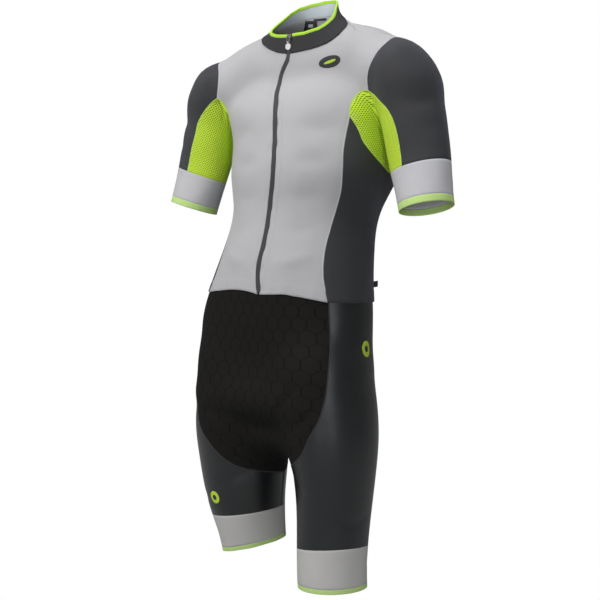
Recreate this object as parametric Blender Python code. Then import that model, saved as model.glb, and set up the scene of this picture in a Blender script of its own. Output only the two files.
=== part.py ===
"""Cycling speed suit, worn form kept: jersey with sleeves, shorts with leg bands, collar and zip. Metres in the model,
millimetres and degrees in every table. Origin: middle of the neck base. The chest faces -Y, the wearer's left is +X."""
import bmesh
import bpy
import numpy as np
from mathutils.bvhtree import BVHTree

MM = 0.001

# The plain figure under the cloth, as soft tubes. Rows: distance down the tube's axis, the section's shift aside and
# ahead of it, half width, front depth, back depth.
TUBES = {
    "trunk": {"from": (0, 0, -85), "to": (0, 0, -700), "power": 2.25, "cap": 50, "blend": (0, 0), "rows": [
        (0, 0, -20, 105, 66, 82), (50, -2, -21, 141, 100, 98), (110, 6, -26, 148, 124, 104),
        (170, 7, -22, 147, 130, 102), (230, -3, -15, 130, 119, 93), (300, -10, 4, 135, 111, 86),
        (370, -21, 18, 153, 101, 91), (440, -30, 22, 162, 95, 104), (515, -31, 24, 150, 96, 118),
        (570, -32, 28, 155, 93, 110), (610, -27, 8, 135, 80, 95)]},
    "shoulder": {"from": (47, 24, -38), "to": (178, 2, -110), "power": 2, "cap": 47, "blend": (60, 60),
                 "rows": [
        (0, 0, 0, 40, 50, 60), (80, 0, 0, 53, 48, 54), (170, 0, 0, 42, 51, 56)]},
    "neck": {"from": (0, 6, 80), "to": (0, 12, -90), "power": 2, "cap": 30, "blend": (28, 28), "rows": [
        (0, 0, 0, 51, 46, 50), (50, 0, 0, 46, 47, 51), (85, 0, 0, 58, 53, 56), (112, 0, 0, 66, 56, 60),
        (170, 0, 0, 74, 60, 62)]},
    "arm": {"from": (189, 7, -101), "to": (239, -22, -313), "power": 2, "cap": 45, "blend": (45, 26),
            "rows": [
        (0, 0, 0, 33, 65, 61), (50, 0, 0, 45, 55, 58), (100, 0, 0, 49, 46, 48), (150, 0, 0, 48, 37, 41),
        (205, 0, 0, 42, 41, 44), (255, 0, 0, 41, 42, 44)]},
    "leg_left": {"from": (65, -43, -600), "to": (79, -36, -945), "power": 2, "cap": 100, "blend": (45, 45),
                 "rows": [
        (0, 0, 0, 78, 82, 95), (80, 5, -4, 78, 85, 94), (160, 10, -5, 67, 78, 84), (240, 5, -4, 61, 68, 73),
        (345, 0, 0, 59, 64, 60), (400, 0, 0, 59, 62, 60)]},
    "leg_right": {"from": (-117, -31, -600), "to": (-111, -6, -945), "power": 2, "cap": 100,
                  "blend": (45, 45), "rows": [
        (0, 0, 0, 78, 81, 96), (80, 5, 4, 81, 88, 94), (160, 6, 5, 81, 83, 85), (240, 4, 7, 70, 76, 73),
        (345, 0, 0, 59, 61, 62), (400, 0, 0, 59, 62, 62)]},
}

# Seams, as points: (tube, distance down it, angle from its front), or ("point", x, y, z). The wearer's right side takes
# them mirrored, from a row of its own where there is one.
SEAMS = {
    "zip": [("neck", 106, 0), ("neck", 122, 0), ("neck", 139, 0), ("trunk", -14, -1), ("trunk", 0, -5),
            ("trunk", 11, -7),
            ("trunk", 35, -4), ("trunk", 59, 0), ("trunk", 111, 0), ("trunk", 173, 1), ("trunk", 228, 1),
            ("trunk", 291, 1), ("trunk", 329, 0), ("trunk", 372, 3)],
    "shoulder": [("neck", 88, 86), ("shoulder", 30, 68), ("shoulder", 66, 59), ("shoulder", 93, 61),
                 ("shoulder", 122, 70)],
    "armhole_front_left": [("shoulder", 122, 70), ("shoulder", 132, 40), ("shoulder", 130, 23),
                           ("shoulder", 128, 2),
                           ("shoulder", 130, -23), ("point", 143, -35, -130)],
    "armhole_front_right": [("shoulder", 122, 70), ("shoulder", 121, 45), ("shoulder", 123, 20),
                            ("shoulder", 132, -1),
                            ("point", 158, -47, -119)],
    "armhole_back": [("shoulder", 122, 70), ("shoulder", 127, 120), ("shoulder", 128, 160),
                     ("shoulder", 130, 195),
                     ("point", 139, 66, -130)],
    "gusset_front_left": [("point", 143, -35, -130), ("point", 131, -36, -130), ("trunk", 52, 56),
                          ("trunk", 66, 51),
                          ("trunk", 85, 49)],
    "gusset_front_right": [("point", 158, -47, -119), ("point", 150, -42, -126), ("point", 146, -40, -137),
                           ("point", 144, -41, -148), ("point", 143, -44, -160)],
    "gusset_back": [("point", 139, 66, -130), ("trunk", 52, 124), ("trunk", 66, 129), ("trunk", 85, 131)],
    "gusset_bottom_left": [("trunk", 85, 49), ("trunk", 108, 55), ("trunk", 125, 58), ("trunk", 141, 64),
                           ("trunk", 157, 73),
                           ("trunk", 172, 90), ("trunk", 157, 107), ("trunk", 141, 116), ("trunk", 125, 122),
                           ("trunk", 108, 125), ("trunk", 85, 131)],
    "gusset_bottom_right": [("point", 143, -44, -160), ("trunk", 110, 60), ("trunk", 128, 62),
                            ("trunk", 144, 67),
                            ("trunk", 159, 75), ("trunk", 172, 90), ("trunk", 157, 107), ("trunk", 141, 116),
                            ("trunk", 125, 122), ("trunk", 108, 125), ("trunk", 85, 131)],
    "side_front_right": [("point", 143, -44, -160), ("trunk", 115, 54), ("trunk", 145, 53),
                         ("trunk", 175, 53),
                         ("trunk", 204, 51), ("trunk", 232, 48), ("trunk", 266, 46.5), ("trunk", 299, 46),
                         ("trunk", 340, 46), ("trunk", 376, 50)],
    "side_front_left": [("trunk", 85, 49), ("trunk", 115, 46), ("trunk", 145, 44.5), ("trunk", 175, 46),
                        ("trunk", 204, 49),
                   ("trunk", 232, 50), ("trunk", 266, 48.5), ("trunk", 299, 46), ("trunk", 340, 45.5),
                   ("trunk", 382, 49)],
    "side_back": [("trunk", 85, 131), ("trunk", 145, 132), ("trunk", 232, 126), ("trunk", 299, 121),
                  ("trunk", 388, 118)],
    "sleeve_front_right": [("point", 158, -47, -119), ("arm", 29, -36), ("arm", 38, -27), ("arm", 51, -16),
                           ("arm", 64, -8),
                           ("arm", 90, -4), ("arm", 115, 1), ("arm", 152, 4)],
    "sleeve_front_left": [("point", 143, -35, -130), ("arm", 47, -41), ("arm", 68, -22), ("arm", 87, -14),
                          ("arm", 112, -12),
                     ("arm", 136, -14), ("arm", 159, -17)],
    "sleeve_back": [("point", 139, 66, -130), ("arm", 33, 216), ("arm", 62, 204), ("arm", 90, 197),
                    ("arm", 115, 193),
                    ("arm", 138, 190), ("arm", 156, 187)],
    "front_panel_left": [("trunk", 335, 51), ("trunk", 381, 50), ("trunk", 439, 50), ("trunk", 498, 47),
                         ("leg", 20, 34),
                         ("leg", 54, 24), ("leg", 82, 10), ("leg", 113, -6), ("leg", 131, -25),
                         ("leg", 144, -46),
                         ("leg", 155, -72), ("leg", 166, -102)],
    "front_panel_right": [("trunk", 335, 53), ("trunk", 381, 57), ("trunk", 439, 62), ("trunk", 500, 60),
                          ("trunk", 550, 53),
                          ("leg", 68, 32), ("leg", 91, 22), ("leg", 116, 6), ("leg", 138, -9),
                          ("leg", 155, -25),
                          ("leg", 167, -46), ("leg", 178, -72), ("leg", 190, -102)],
    "seat_left": [("trunk", 335, 118), ("trunk", 400, 121), ("trunk", 470, 127), ("trunk", 530, 136),
                  ("leg", 70, 160),
                  ("leg", 118, 185), ("leg", 148, 215), ("leg", 162, 240), ("leg", 166, 258)],
    "seat_right": [("trunk", 335, 118), ("trunk", 400, 121), ("trunk", 470, 127), ("trunk", 530, 136),
                   ("leg", 80, 160),
                   ("leg", 134, 185), ("leg", 170, 215), ("leg", 186, 240), ("leg", 190, 258)],
}
CROTCH = (-20, -19, -752)
# Underarm seam, from the front of the armhole to its back; it lies in the crease between the arm and the chest.
FOLD = {1: [(151, -24, -162), (156, -4, -194), (157.3, 9, -197), (158.7, 22, -186), (156.5, 41, -161)],
        -1: [(150.4, -23.5, -160.5), (151.5, -6, -175), (151.6, 5, -177), (153.5, 17.4, -175.4),
             (155.7, 28.5, -170),
             (155, 43, -157)]}

# Closed edges. Rings of arms and legs: mean distance down the tube, extra at one angle, that angle.
RINGS = {
    "cuff_left": (159.5, 0, 0), "cuff_right": (154, 4, -70), "sleeve_hem_left": (224.5, 0, 0),
    "sleeve_hem_right": (217.5, 2, -80),
    "band_left": (291.5, -17, 30), "band_right": (266, -17, -50), "leg_hem_left": (361, -11, 20),
    "leg_hem_right": (336, -20, -65),
}
CUFF_START = {1: -17, -1: 4}  # angle where the front of the sleeve gusset meets the cuff
TRIM = {"sleeve": 10.8, "leg": 8.0}
# Edges with a row for each angle: angle, distance down the tube.
NECKLINE = [(-180, 60), (-150, 61), (-125, 66), (-105, 75), (-86, 88), (-68, 102), (-53, 115), (-39, 124),
            (-20, 133), (0, 139),
            (15, 137), (29, 135), (40, 132), (49, 128), (56, 122), (62, 115), (68, 107), (77, 97.5),
            (86, 90), (105, 76),
            (125, 66), (150, 61), (180, 60)]
COLLAR_TOP = [(-180, 33), (-150, 36), (-125, 43), (-105, 54), (-86, 71), (-67, 87), (-45, 97),
              (-27, 102.5), (-11, 105.5), (0, 106),
              (22, 105), (44, 99), (57, 91), (70, 81), (86, 68), (105, 53), (125, 43), (150, 36), (180, 33)]
JERSEY_HEM = [(-180, 398), (-118, 385), (-80, 380), (-50, 376), (-31, 370), (-18, 366), (-7, 367),
              (-2, 371), (3, 372), (21, 370),
              (34, 375), (49, 382), (67, 384), (100, 386), (118, 388), (180, 398)]
BINDING = 5.0

# Layers, heights over the figure: outer face, inner face.
LAYERS = {"shorts": (0.0, -1.3), "jersey": (2.2, 1.0), "gusset": (1.0, -0.2), "collar": (3.4, 2.3),
          "facing": (2.0, 0.9), "binding": (3.6, 0.6),
          "zip": (2.9, 0.9), "label": (-1.2, -2.4)}
GAP = 0.3
ZIP_HALF = 3.2

# Divisions of each seam; the pieces on both sides of it share its points.
DIVIDE = {"neck": 7, "shoulder": 5, "armhole": 5, "gusset": 3, "side": 12, "under": 10, "sleeve": 6,
          "shorts": 15,
          "inner_leg": 5, "shorts_top": 16, "leg_ring": 18, "collar_front": 2}

# Finishes: base colour, roughness, metallic. The longest key that starts a node's name gives its finish.
FINISHES = {
    "grey_knit": ((0.53, 0.53, 0.54), 0.9, 0), "black_knit": ((0.035, 0.036, 0.042), 0.75, 0),
    "lime_mesh": ((0.5, 0.68, 0.04), 0.85, 0), "lime_rib": ((0.52, 0.68, 0.12), 0.85, 0),
    "band_knit": ((0.5, 0.5, 0.5), 0.9, 0), "facing_knit": ((0.35, 0.38, 0.39), 0.9, 0),
    "shorts_cells": ((0.015, 0.014, 0.012), 0.9, 0), "gloss_lycra": ((0.018, 0.019, 0.022), 0.4, 0),
    "zip_teeth": ((0.08, 0.08, 0.085), 0.6, 0), "zip_metal": ((0.05, 0.05, 0.055), 0.4, 1),
    "pull_disc": ((0.55, 0.55, 0.56), 0.4, 1)}
WEARS = {"front": "grey_knit", "back": "grey_knit", "side": "black_knit", "gusset": "lime_mesh",
         "sleeve": "black_knit",
         "cuff_band": "band_knit", "cuff_trim": "lime_rib", "shorts": "shorts_cells",
         "leg_panel": "gloss_lycra",
         "leg_band": "band_knit", "leg_trim": "lime_rib", "collar": "black_knit",
         "collar_facing": "facing_knit",
         "collar_binding": "lime_rib", "zip_chain": "zip_teeth", "zip": "zip_metal", "zip_disc": "pull_disc",
         "neck_label": "black_knit"}

PULL = {"slider": (4.2, 10.5, 5.4), "keel": (2.9, 3.15, 3.9), "eye_height": 7.2, "bail": (1.15, 2.1, 1.8),
        "wire": 0.65,
        "link": (2.6, 8.6), "disc": (5.25, 2.0)}
TAB = {"at": ("trunk", 359, 118), "out": (2.6, 9.6), "tall": 10.0, "thick": 2.4}
LABEL = {"along": (64, 82), "angle": (199, 222)}


class Spline:
    """Cubic spline through the rows, level at both ends and beyond them."""

    def __init__(self, xs, ys):
        n, h = len(xs), np.diff(xs)
        system, slope = np.eye(n), np.zeros((n,) + ys.shape[1:])
        step = np.diff(ys, axis=0) / h.reshape((-1,) + (1,) * (ys.ndim - 1))
        system[0, :2], system[-1, -2:] = (2 * h[0], h[0]), (h[-1], 2 * h[-1])
        slope[0], slope[-1] = 6 * step[0], -6 * step[-1]
        for i in range(1, n - 1):
            system[i, i - 1:i + 2] = h[i - 1], 2 * (h[i - 1] + h[i]), h[i]
            slope[i] = 6 * (step[i] - step[i - 1])
        bend = np.linalg.solve(system, slope)
        self.xs = xs
        h = h.reshape((-1,) + (1,) * (ys.ndim - 1))
        # value = a0 + a1 t + a2 t^2 + a3 t^3 in each span, t from its start
        self.terms = np.stack([ys[:-1], step - h * (2 * bend[:-1] + bend[1:]) / 6, bend[:-1] / 2,
                               (bend[1:] - bend[:-1]) / (6 * h)])

    def __call__(self, x):
        x = np.clip(x, self.xs[0], self.xs[-1])
        i = np.clip(np.searchsorted(self.xs, x) - 1, 0, len(self.xs) - 2)
        t = x - self.xs[i]
        a0, a1, a2, a3 = self.terms[:, i]
        t = t[..., None] if a0.ndim > t.ndim else t
        return a0 + t * (a1 + t * (a2 + t * a3))


def unit(v):
    return v / np.maximum(np.linalg.norm(v, axis=-1, keepdims=True), 1e-12)


class Tube:
    def __init__(self, spec, side):
        mirror = np.array((side, 1, 1)) * MM
        self.start, end = np.array(spec["from"]) * mirror, np.array(spec["to"]) * mirror
        self.down = unit(end - self.start)
        self.front = unit(np.array((0, -1.0, 0)) + self.down * self.down[1])
        self.side = np.cross(self.front, self.down)
        if spec is TUBES["shoulder"]:
            self.side = self.side * np.sign(self.side[2])
        else:
            self.side = self.side * np.sign(self.side[0]) * (1 if spec in (TUBES["trunk"], TUBES["neck"]) else np.sign(end[0]))
        rows = np.array(spec["rows"], float) * MM
        self.end, self.size = rows[-1, 0], Spline(rows[:, 0], rows[:, 1:])
        self.power, self.cap, self.blend = spec["power"], spec["cap"] * MM, [v * MM for v in spec["blend"]]

    def local(self, p):
        q = p - self.start
        return q @ self.side, q @ self.front, q @ self.down

    def distance(self, p):
        u, v, t = self.local(p)
        aside, ahead, half, fore, back = np.moveaxis(self.size(t), -1, 0)
        u, v = u - aside, v - ahead
        over = np.maximum(-t, 0) + np.maximum(t - self.end, 0)
        rho = ((np.abs(u) / half)**self.power + (np.abs(v) / np.where(v > 0, fore, back))**self.power
               + (over / self.cap)**self.power)**(1 / self.power) + 1e-9
        r = np.sqrt(u * u + v * v + over * over)
        return r - r / rho

    def softness(self, p):
        high, low = self.blend
        s = np.clip((self.local(p)[2] - 0.02) / 0.07, 0, 1)
        return high + (low - high) * s * s * (3 - 2 * s)

    def ray(self, along, angle):
        """Axis point and outward direction, for distances in metres and angles in radians."""
        aside, ahead, half, fore, back = np.moveaxis(self.size(along), -1, 0)
        s, c = np.sin(angle), np.cos(angle)
        out = (half * s)[..., None] * self.side + (np.where(c > 0, fore, back) * c)[..., None] * self.front
        middle = self.start + along[..., None] * self.down + aside[..., None] * self.side + ahead[..., None] * self.front
        return middle, out


class Figure:
    """Soft union of the tubes. Its level zero is the skin side of the shorts' outer face."""

    def __init__(self):
        self.tubes = {(n, s): Tube(TUBES[n if n != "leg" else "leg_left" if s > 0 else "leg_right"],
                                   1 if n in ("trunk", "neck", "leg") else s)
                      for n in ("trunk", "shoulder", "neck", "arm", "leg") for s in (1, -1)}
        self.order = [self.tubes[n, s] for n in ("shoulder", "neck", "arm",
                                                 "leg") for s in ((1,) if n == "neck" else (1, -1))]

    def height(self, p):
        d = self.tubes["trunk", 1].distance(p)
        for tube in self.order:
            e, k = tube.distance(p), tube.softness(p)
            h = np.maximum(k - np.abs(d - e), 0) / k
            d = np.minimum(d, e) - h**3 * k / 6
        return d

    def slope(self, p):
        steps = np.eye(3) * 4e-4
        return np.stack([self.height(p + s) - self.height(p - s) for s in steps], -1) / 8e-4

    def normal(self, p):
        return unit(self.slope(p))

    def settle(self, p, rounds=4):
        """The points moved onto level zero."""
        for _ in range(rounds):
            g = self.slope(p)
            p = p - g * (self.height(p) / np.maximum((g * g).sum(-1), 1e-6))[..., None]
        return p

    def at(self, name, along, angle, side=1):
        """Points on level zero, straight out from a tube's axis."""
        along, angle = np.atleast_1d(along) * MM, np.radians(np.atleast_1d(angle))
        along, angle = np.broadcast_arrays(along, angle)
        middle, out = self.tubes[name, side].ray(along, angle * (side if name in ("trunk", "neck") else 1))
        p, out = middle + out, unit(out)
        for _ in range(60):
            p = p - out * (np.clip(self.height(p), -0.01, 0.01) * 0.8)[..., None]
        return self.settle(p)

    def seam(self, name, side, count):
        rows = SEAMS[name] if name in SEAMS else SEAMS[name + ("_left" if side > 0 else "_right")]
        points = np.zeros((len(rows), 3))
        for kind in {row[0] for row in rows}:
            which = [i for i, row in enumerate(rows) if row[0] == kind]
            given = np.array([rows[i][1:] for i in which], float)
            points[which] = self.settle(given * MM * (side, 1, 1), 8) if kind == "point" else self.at(kind, given[:, 0], given[:, 1], side)
        return self.through(points, count)

    def through(self, points, count, closed=False):
        """Evenly spaced points of a smooth line through the given ones."""
        run = np.concatenate([[0], np.cumsum(np.linalg.norm(np.diff(points, axis=0), axis=1))])
        n, h = len(points), np.diff(run)
        if n == 2:
            fine = points[0] + np.linspace(0, 1, 40)[:, None] * (points[1] - points[0])
        else:
            t = np.linspace(0, run[-1], 40 * n)
            slopes = np.gradient(points, run, axis=0)
            i = np.clip(np.searchsorted(run, t) - 1, 0, n - 2)
            s, w = ((t - run[i]) / h[i])[:, None], h[i][:, None]
            fine = ((1 + 2 * s) * (1 - s)**2 * points[i] + s * (1 - s)**2 * w * slopes[i]
                    + s * s * (3 - 2 * s) * points[i + 1] + s * s * (s - 1) * w * slopes[i + 1])
        fine = self.settle(fine, 3)
        run = np.concatenate([[0], np.cumsum(np.linalg.norm(np.diff(fine, axis=0), axis=1))])
        even = np.linspace(0, run[-1], count + 1)
        return self.settle(np.stack([np.interp(even, run, fine[:, i]) for i in range(3)], -1), 2)

    def edge(self, name, rows, angles, lower=0.0):
        """Points of an edge given by rows of (angle, distance down the tube)."""
        rows = np.array(rows, float)
        angles = np.asarray(angles, float)
        turned = (angles + 180) % 360 - 180
        return self.at(name, np.interp(turned, rows[:, 0], rows[:, 1]) + lower, angles)

    def ring(self, name, tube, side, angles, lower=0.0):
        mean, extra, toward = RINGS[name + ("_left" if side > 0 else "_right")]
        angles = np.asarray(angles, float)
        return self.at(tube, mean + extra * np.cos(np.radians(angles - toward)) + lower, angles, side)


def resample(rows, count):
    """The array's rows, read at count even places from first to last."""
    at = np.linspace(0, len(rows) - 1, count)
    i = np.minimum(at.astype(int), len(rows) - 2)
    part = (at - i).reshape((-1,) + (1,) * (rows.ndim - 1))
    return rows[i] * (1 - part) + rows[i + 1] * part


class Sheet:
    """Grid of points on the figure between four edges, seen from outside: top and bottom run left to right, left and
    right run top to bottom. Each edge is drawn in from its seam by its own allowance."""

    def __init__(self, figure, top, bottom, left, right, allow=None, side=1, hold=0.4):
        if side < 0:
            top, bottom, left, right = top[::-1], bottom[::-1], right, left
        allow = {**dict.fromkeys(("top", "bottom", "left", "right"), GAP / 2), **(allow or {})}
        if side < 0:
            allow["left"], allow["right"] = allow["right"], allow["left"]
        self.figure = figure
        rows, columns = len(left), len(top)
        inward = {"top": -1, "bottom": 1, "left": 1, "right": -1}
        lines = {"top": top, "bottom": bottom, "left": left, "right": right}
        push = {}
        for key, line in lines.items():
            along = unit(np.gradient(line, axis=0))
            if np.linalg.norm(line[0] - line[-1]) < 1e-6:
                along[0] = along[-1] = unit(along[0] + along[-1])
            push[key] = unit(np.cross(figure.normal(line), along)) * inward[key]
        grid = np.zeros((rows, columns, 3))
        edge = {k: lines[k] + push[k] * allow[k] * MM for k in lines}
        for (a, i), (b, j), at in ((("top", 0), ("left", 0), (0, 0)), (("top", -1), ("right", 0), (0, -1)),
                                   (("bottom", 0), ("left", -1), (-1, 0)),
                                   (("bottom", -1), ("right", -1), (-1, -1))):
            u, v = push[a][i], push[b][j]
            det = max(1 - float(u @ v)**2, 0.15)
            wa, wb = allow[a] * MM, allow[b] * MM
            corner = lines[a][i] + u * (wa - wb * (u @ v)) / det + v * (wb - wa * (u @ v)) / det
            edge[a][i], edge[b][j] = corner, corner
        self.grid = self.spread(edge, push, hold)

    def spread(self, edge, push, hold):
        """Evenly spread grid inside the four edges, coarse first, its outermost cells kept inside each edge."""
        figure, grid = self.figure, None
        full = len(edge["left"]), len(edge["top"])
        for part in (4, 2, 1):
            rows, columns = (max(min(n, 4), -(-n // part)) for n in full)
            counts = {k: columns if k in ("top", "bottom") else rows for k in edge}
            sides, inward = ({k: resample(e[k], counts[k]) for k in e} for e in (edge, push))
            if grid is None:
                u, v = np.linspace(0, 1, columns)[None, :, None], np.linspace(0, 1, rows)[:, None, None]
                top, bottom, left, right = (sides[k] for k in ("top", "bottom", "left", "right"))
                grid = ((1 - v) * top[None] + v * bottom[None] + (1 - u) * left[:, None] + u * right[:, None]
                        - (1 - v) * ((1 - u) * top[0] + u * top[-1]) - v * ((1 - u) * bottom[0] + u * bottom[-1]))
            else:
                grid = resample(np.swapaxes(resample(np.swapaxes(grid, 0, 1), columns), 0, 1), rows)
            grid[0], grid[-1], grid[:, 0], grid[:, -1] = sides["top"], sides["bottom"], sides["left"], sides["right"]
            for _ in range(12 * part):
                middle = (grid[:-2, 1:-1] + grid[2:, 1:-1] + grid[1:-1, :-2] + grid[1:-1, 2:]) / 4
                grid[1:-1, 1:-1] = figure.settle(middle, 1)
                for key, near in (("top", grid[1]), ("bottom", grid[-2]), ("left", grid[:, 1]),
                                  ("right", grid[:, -2])):
                    away = near[1:-1] - sides[key][1:-1]
                    least = hold * np.linalg.norm(away, axis=1).sum() / max(len(away), 1)
                    lack = np.maximum(least - (away * inward[key][1:-1]).sum(-1), 0)
                    near[1:-1] += inward[key][1:-1] * lack[:, None]
        return self.untangle(figure.settle(grid, 2))

    def untangle(self, grid):
        """Moves inner points until every corner of every cell turns the right way, with some of the mean cell's area."""
        cells = ((slice(None, -1), slice(None, -1)), (slice(1, None), slice(None, -1)),
                 (slice(1, None), slice(1, None)),
                 (slice(None, -1), slice(1, None)))
        for turn in range(60):
            normal = self.figure.normal(grid) if turn % 5 == 0 else normal
            move = np.zeros_like(grid)
            for k in range(4):
                here, ahead, behind = cells[k], cells[(k + 1) % 4], cells[k - 1]
                n, u, v = normal[here], grid[ahead] - grid[here], grid[behind] - grid[here]
                area = (n * np.cross(u, v)).sum(-1)
                least = 0.2 * np.abs(area).mean()
                to_ahead, to_behind = np.cross(v, n), np.cross(n, u)
                size = (to_ahead**2 + to_behind**2 + (to_ahead + to_behind)**2).sum(-1)
                step = (0.5 * np.maximum(least - area, 0) / np.maximum(size, 1e-12))[..., None]
                move[ahead] += step * to_ahead
                move[behind] += step * to_behind
                move[here] -= step * (to_ahead + to_behind)
            if np.abs(move[1:-1, 1:-1]).max(initial=0) < 1e-5:
                break
            grid[1:-1, 1:-1] = self.figure.settle((grid + move)[1:-1, 1:-1], 1)
        return self.figure.settle(grid, 2)

    def solid(self, name, layer):
        return wall(name, self.grid, self.figure, *LAYERS[layer])


def add_object(name, points, faces):
    mesh = bpy.data.meshes.new(name)
    mesh.from_pydata([tuple(map(float, p)) for p in points], [], faces)
    mesh.validate()
    obj = bpy.data.objects.new(name, mesh)
    bpy.context.scene.collection.objects.link(obj)
    return obj


def wall(name, grid, figure, outer, inner, closed=False):
    """Closed solid between two heights over the figure, from a grid of points (rows down, columns to the right)."""
    rows, columns = grid.shape[:2]
    normal = figure.normal(grid)
    points = np.concatenate([(grid + normal * outer * MM).reshape(-1, 3),
                             (grid + normal * inner * MM).reshape(-1, 3)])
    at = lambda i, j: i * columns + j % columns
    back = rows * columns
    span = columns if closed else columns - 1
    faces = []
    here, along = grid[:-1, :], np.roll(grid, -1, 1)[:-1, :]
    under, across = grid[1:, :], np.roll(grid, -1, 1)[1:, :]
    falling = np.abs(figure.height((here + across) / 2)) < np.abs(figure.height((along + under) / 2))
    for i in range(rows - 1):
        for j in range(span):
            q = [at(i, j), at(i + 1, j), at(i + 1, j + 1), at(i, j + 1)]
            halves = [q[:3], [q[0], q[2], q[3]]] if falling[i, j] else [[q[0], q[1], q[3]], q[1:]]
            faces += halves + [[v + back for v in h[::-1]] for h in halves]
    for j in range(span):
        for i, flip in ((0, 1), (rows - 1, -1)):
            q = [at(i, j), at(i, j + 1), at(i, j + 1) + back, at(i, j) + back]
            faces.append(q[::flip])
    for i in range(rows - 1) if not closed else ():
        for j, flip in ((0, -1), (columns - 1, 1)):
            q = [at(i, j), at(i + 1, j), at(i + 1, j) + back, at(i, j) + back]
            faces.append(q[::flip])
    return add_object(name, points, faces)


def band(name, figure, upper, lower, rows, layer):
    """Closed ring of cloth between two closed edges, whose first point isn't repeated."""
    steps = np.linspace(0, 1, rows + 1)[:, None, None]
    grid = figure.settle(upper[None] * (1 - steps) + lower[None] * steps, 3)
    return wall(name, grid, figure, *LAYERS[layer], closed=True)


def drawn_in(figure, ring, inward):
    """A closed edge moved along the cloth, down (-1) or up (1), by half the gap."""
    along = unit(np.roll(ring, -1, 0) - np.roll(ring, 1, 0))
    return figure.settle(ring + unit(np.cross(figure.normal(ring), along)) * inward * GAP / 2 * MM, 2)


def box(x, y, z, frame=np.eye(3), middle=np.zeros(3)):
    """Points and faces of a block; x, y and z are (low, high) in millimetres along the frame's rows."""
    p = np.array([(a, b, c) for a in x for b in y for c in z]) * MM
    return middle + p @ frame, [(0, 1, 3, 2), (4, 6, 7, 5), (0, 4, 5, 1), (2, 3, 7, 6), (0, 2, 6, 4),
                                (1, 5, 7, 3)]


def round_plate(inner, outer, half, sides=24):
    """Disc or washer about the X axis."""
    turn = np.linspace(0, 2 * np.pi, sides, endpoint=False)
    rings = [np.stack([np.full(sides, x), r * np.sin(turn), r * np.cos(turn)], -1)
             for r, x in (((outer, -half), (outer, half)) if inner == 0 else ((outer, -half),
                                                                              (outer, half), (inner, half),
                                                                              (inner, -half)))]
    points, faces = np.concatenate(rings) * MM, []
    pairs = [(0, 1)] if inner == 0 else [(0, 1), (1, 2), (2, 3), (3, 0)]
    for a, b in pairs:
        for i in range(sides):
            j = (i + 1) % sides
            faces.append((a * sides + i, b * sides + i, b * sides + j, a * sides + j))
    if inner == 0:
        faces += [tuple(range(sides)), tuple(range(2 * sides - 1, sides - 1, -1))]
    return points, faces


def join(name, shapes):
    """One solid from overlapping closed shapes."""
    objs = [add_object(name if i == 0 else name + "_add", *s) for i, s in enumerate(shapes)]
    for o in objs:
        bm = bmesh.new()
        bm.from_mesh(o.data)
        bmesh.ops.recalc_face_normals(bm, faces=bm.faces)
        bm.to_mesh(o.data)
        bm.free()
    for extra in objs[1:]:
        cut = objs[0].modifiers.new("add", "BOOLEAN")
        cut.operation, cut.solver, cut.object = "UNION", "EXACT", extra
    bpy.context.view_layer.update()
    mesh = bpy.data.meshes.new_from_object(objs[0].evaluated_get(bpy.context.evaluated_depsgraph_get()))
    objs[0].modifiers.clear()
    objs[0].data = mesh
    mesh.name = name
    for extra in objs[1:]:
        bpy.data.objects.remove(extra)
    return objs[0]


def rounded_ring(half, length, wire, corner=1.5, sides=10):
    """Closed wire in the XZ plane, its top bar centred on the origin, hanging down."""
    path = []
    for cx, cz, first in ((half - corner, -corner, 90), (half - corner, -length + corner, 0),
                          (-half + corner, -length + corner, -90), (-half + corner, -corner, -180)):
        for k in range(5):
            a = np.radians(first - 90 * k / 4)
            path.append((cx + corner * np.cos(a), 0, cz + corner * np.sin(a)))
    path = np.array(path)
    ahead = unit(np.roll(path, -1, 0) - np.roll(path, 1, 0))
    across = np.array((0, 1.0, 0))
    turn = np.linspace(0, 2 * np.pi, sides, endpoint=False)
    points = np.concatenate([p + wire * (np.cos(turn)[:, None] * across + np.sin(turn)[:, None] * np.cross(a, across)) for p, a in zip(path, ahead)])
    n = len(path)
    faces = [(i * sides + j, i * sides + (j + 1) % sides, ((i + 1) % n) * sides + (j + 1) % sides,
              ((i + 1) % n) * sides + j)
             for i in range(n) for j in range(sides)]
    return points * MM, faces


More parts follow.
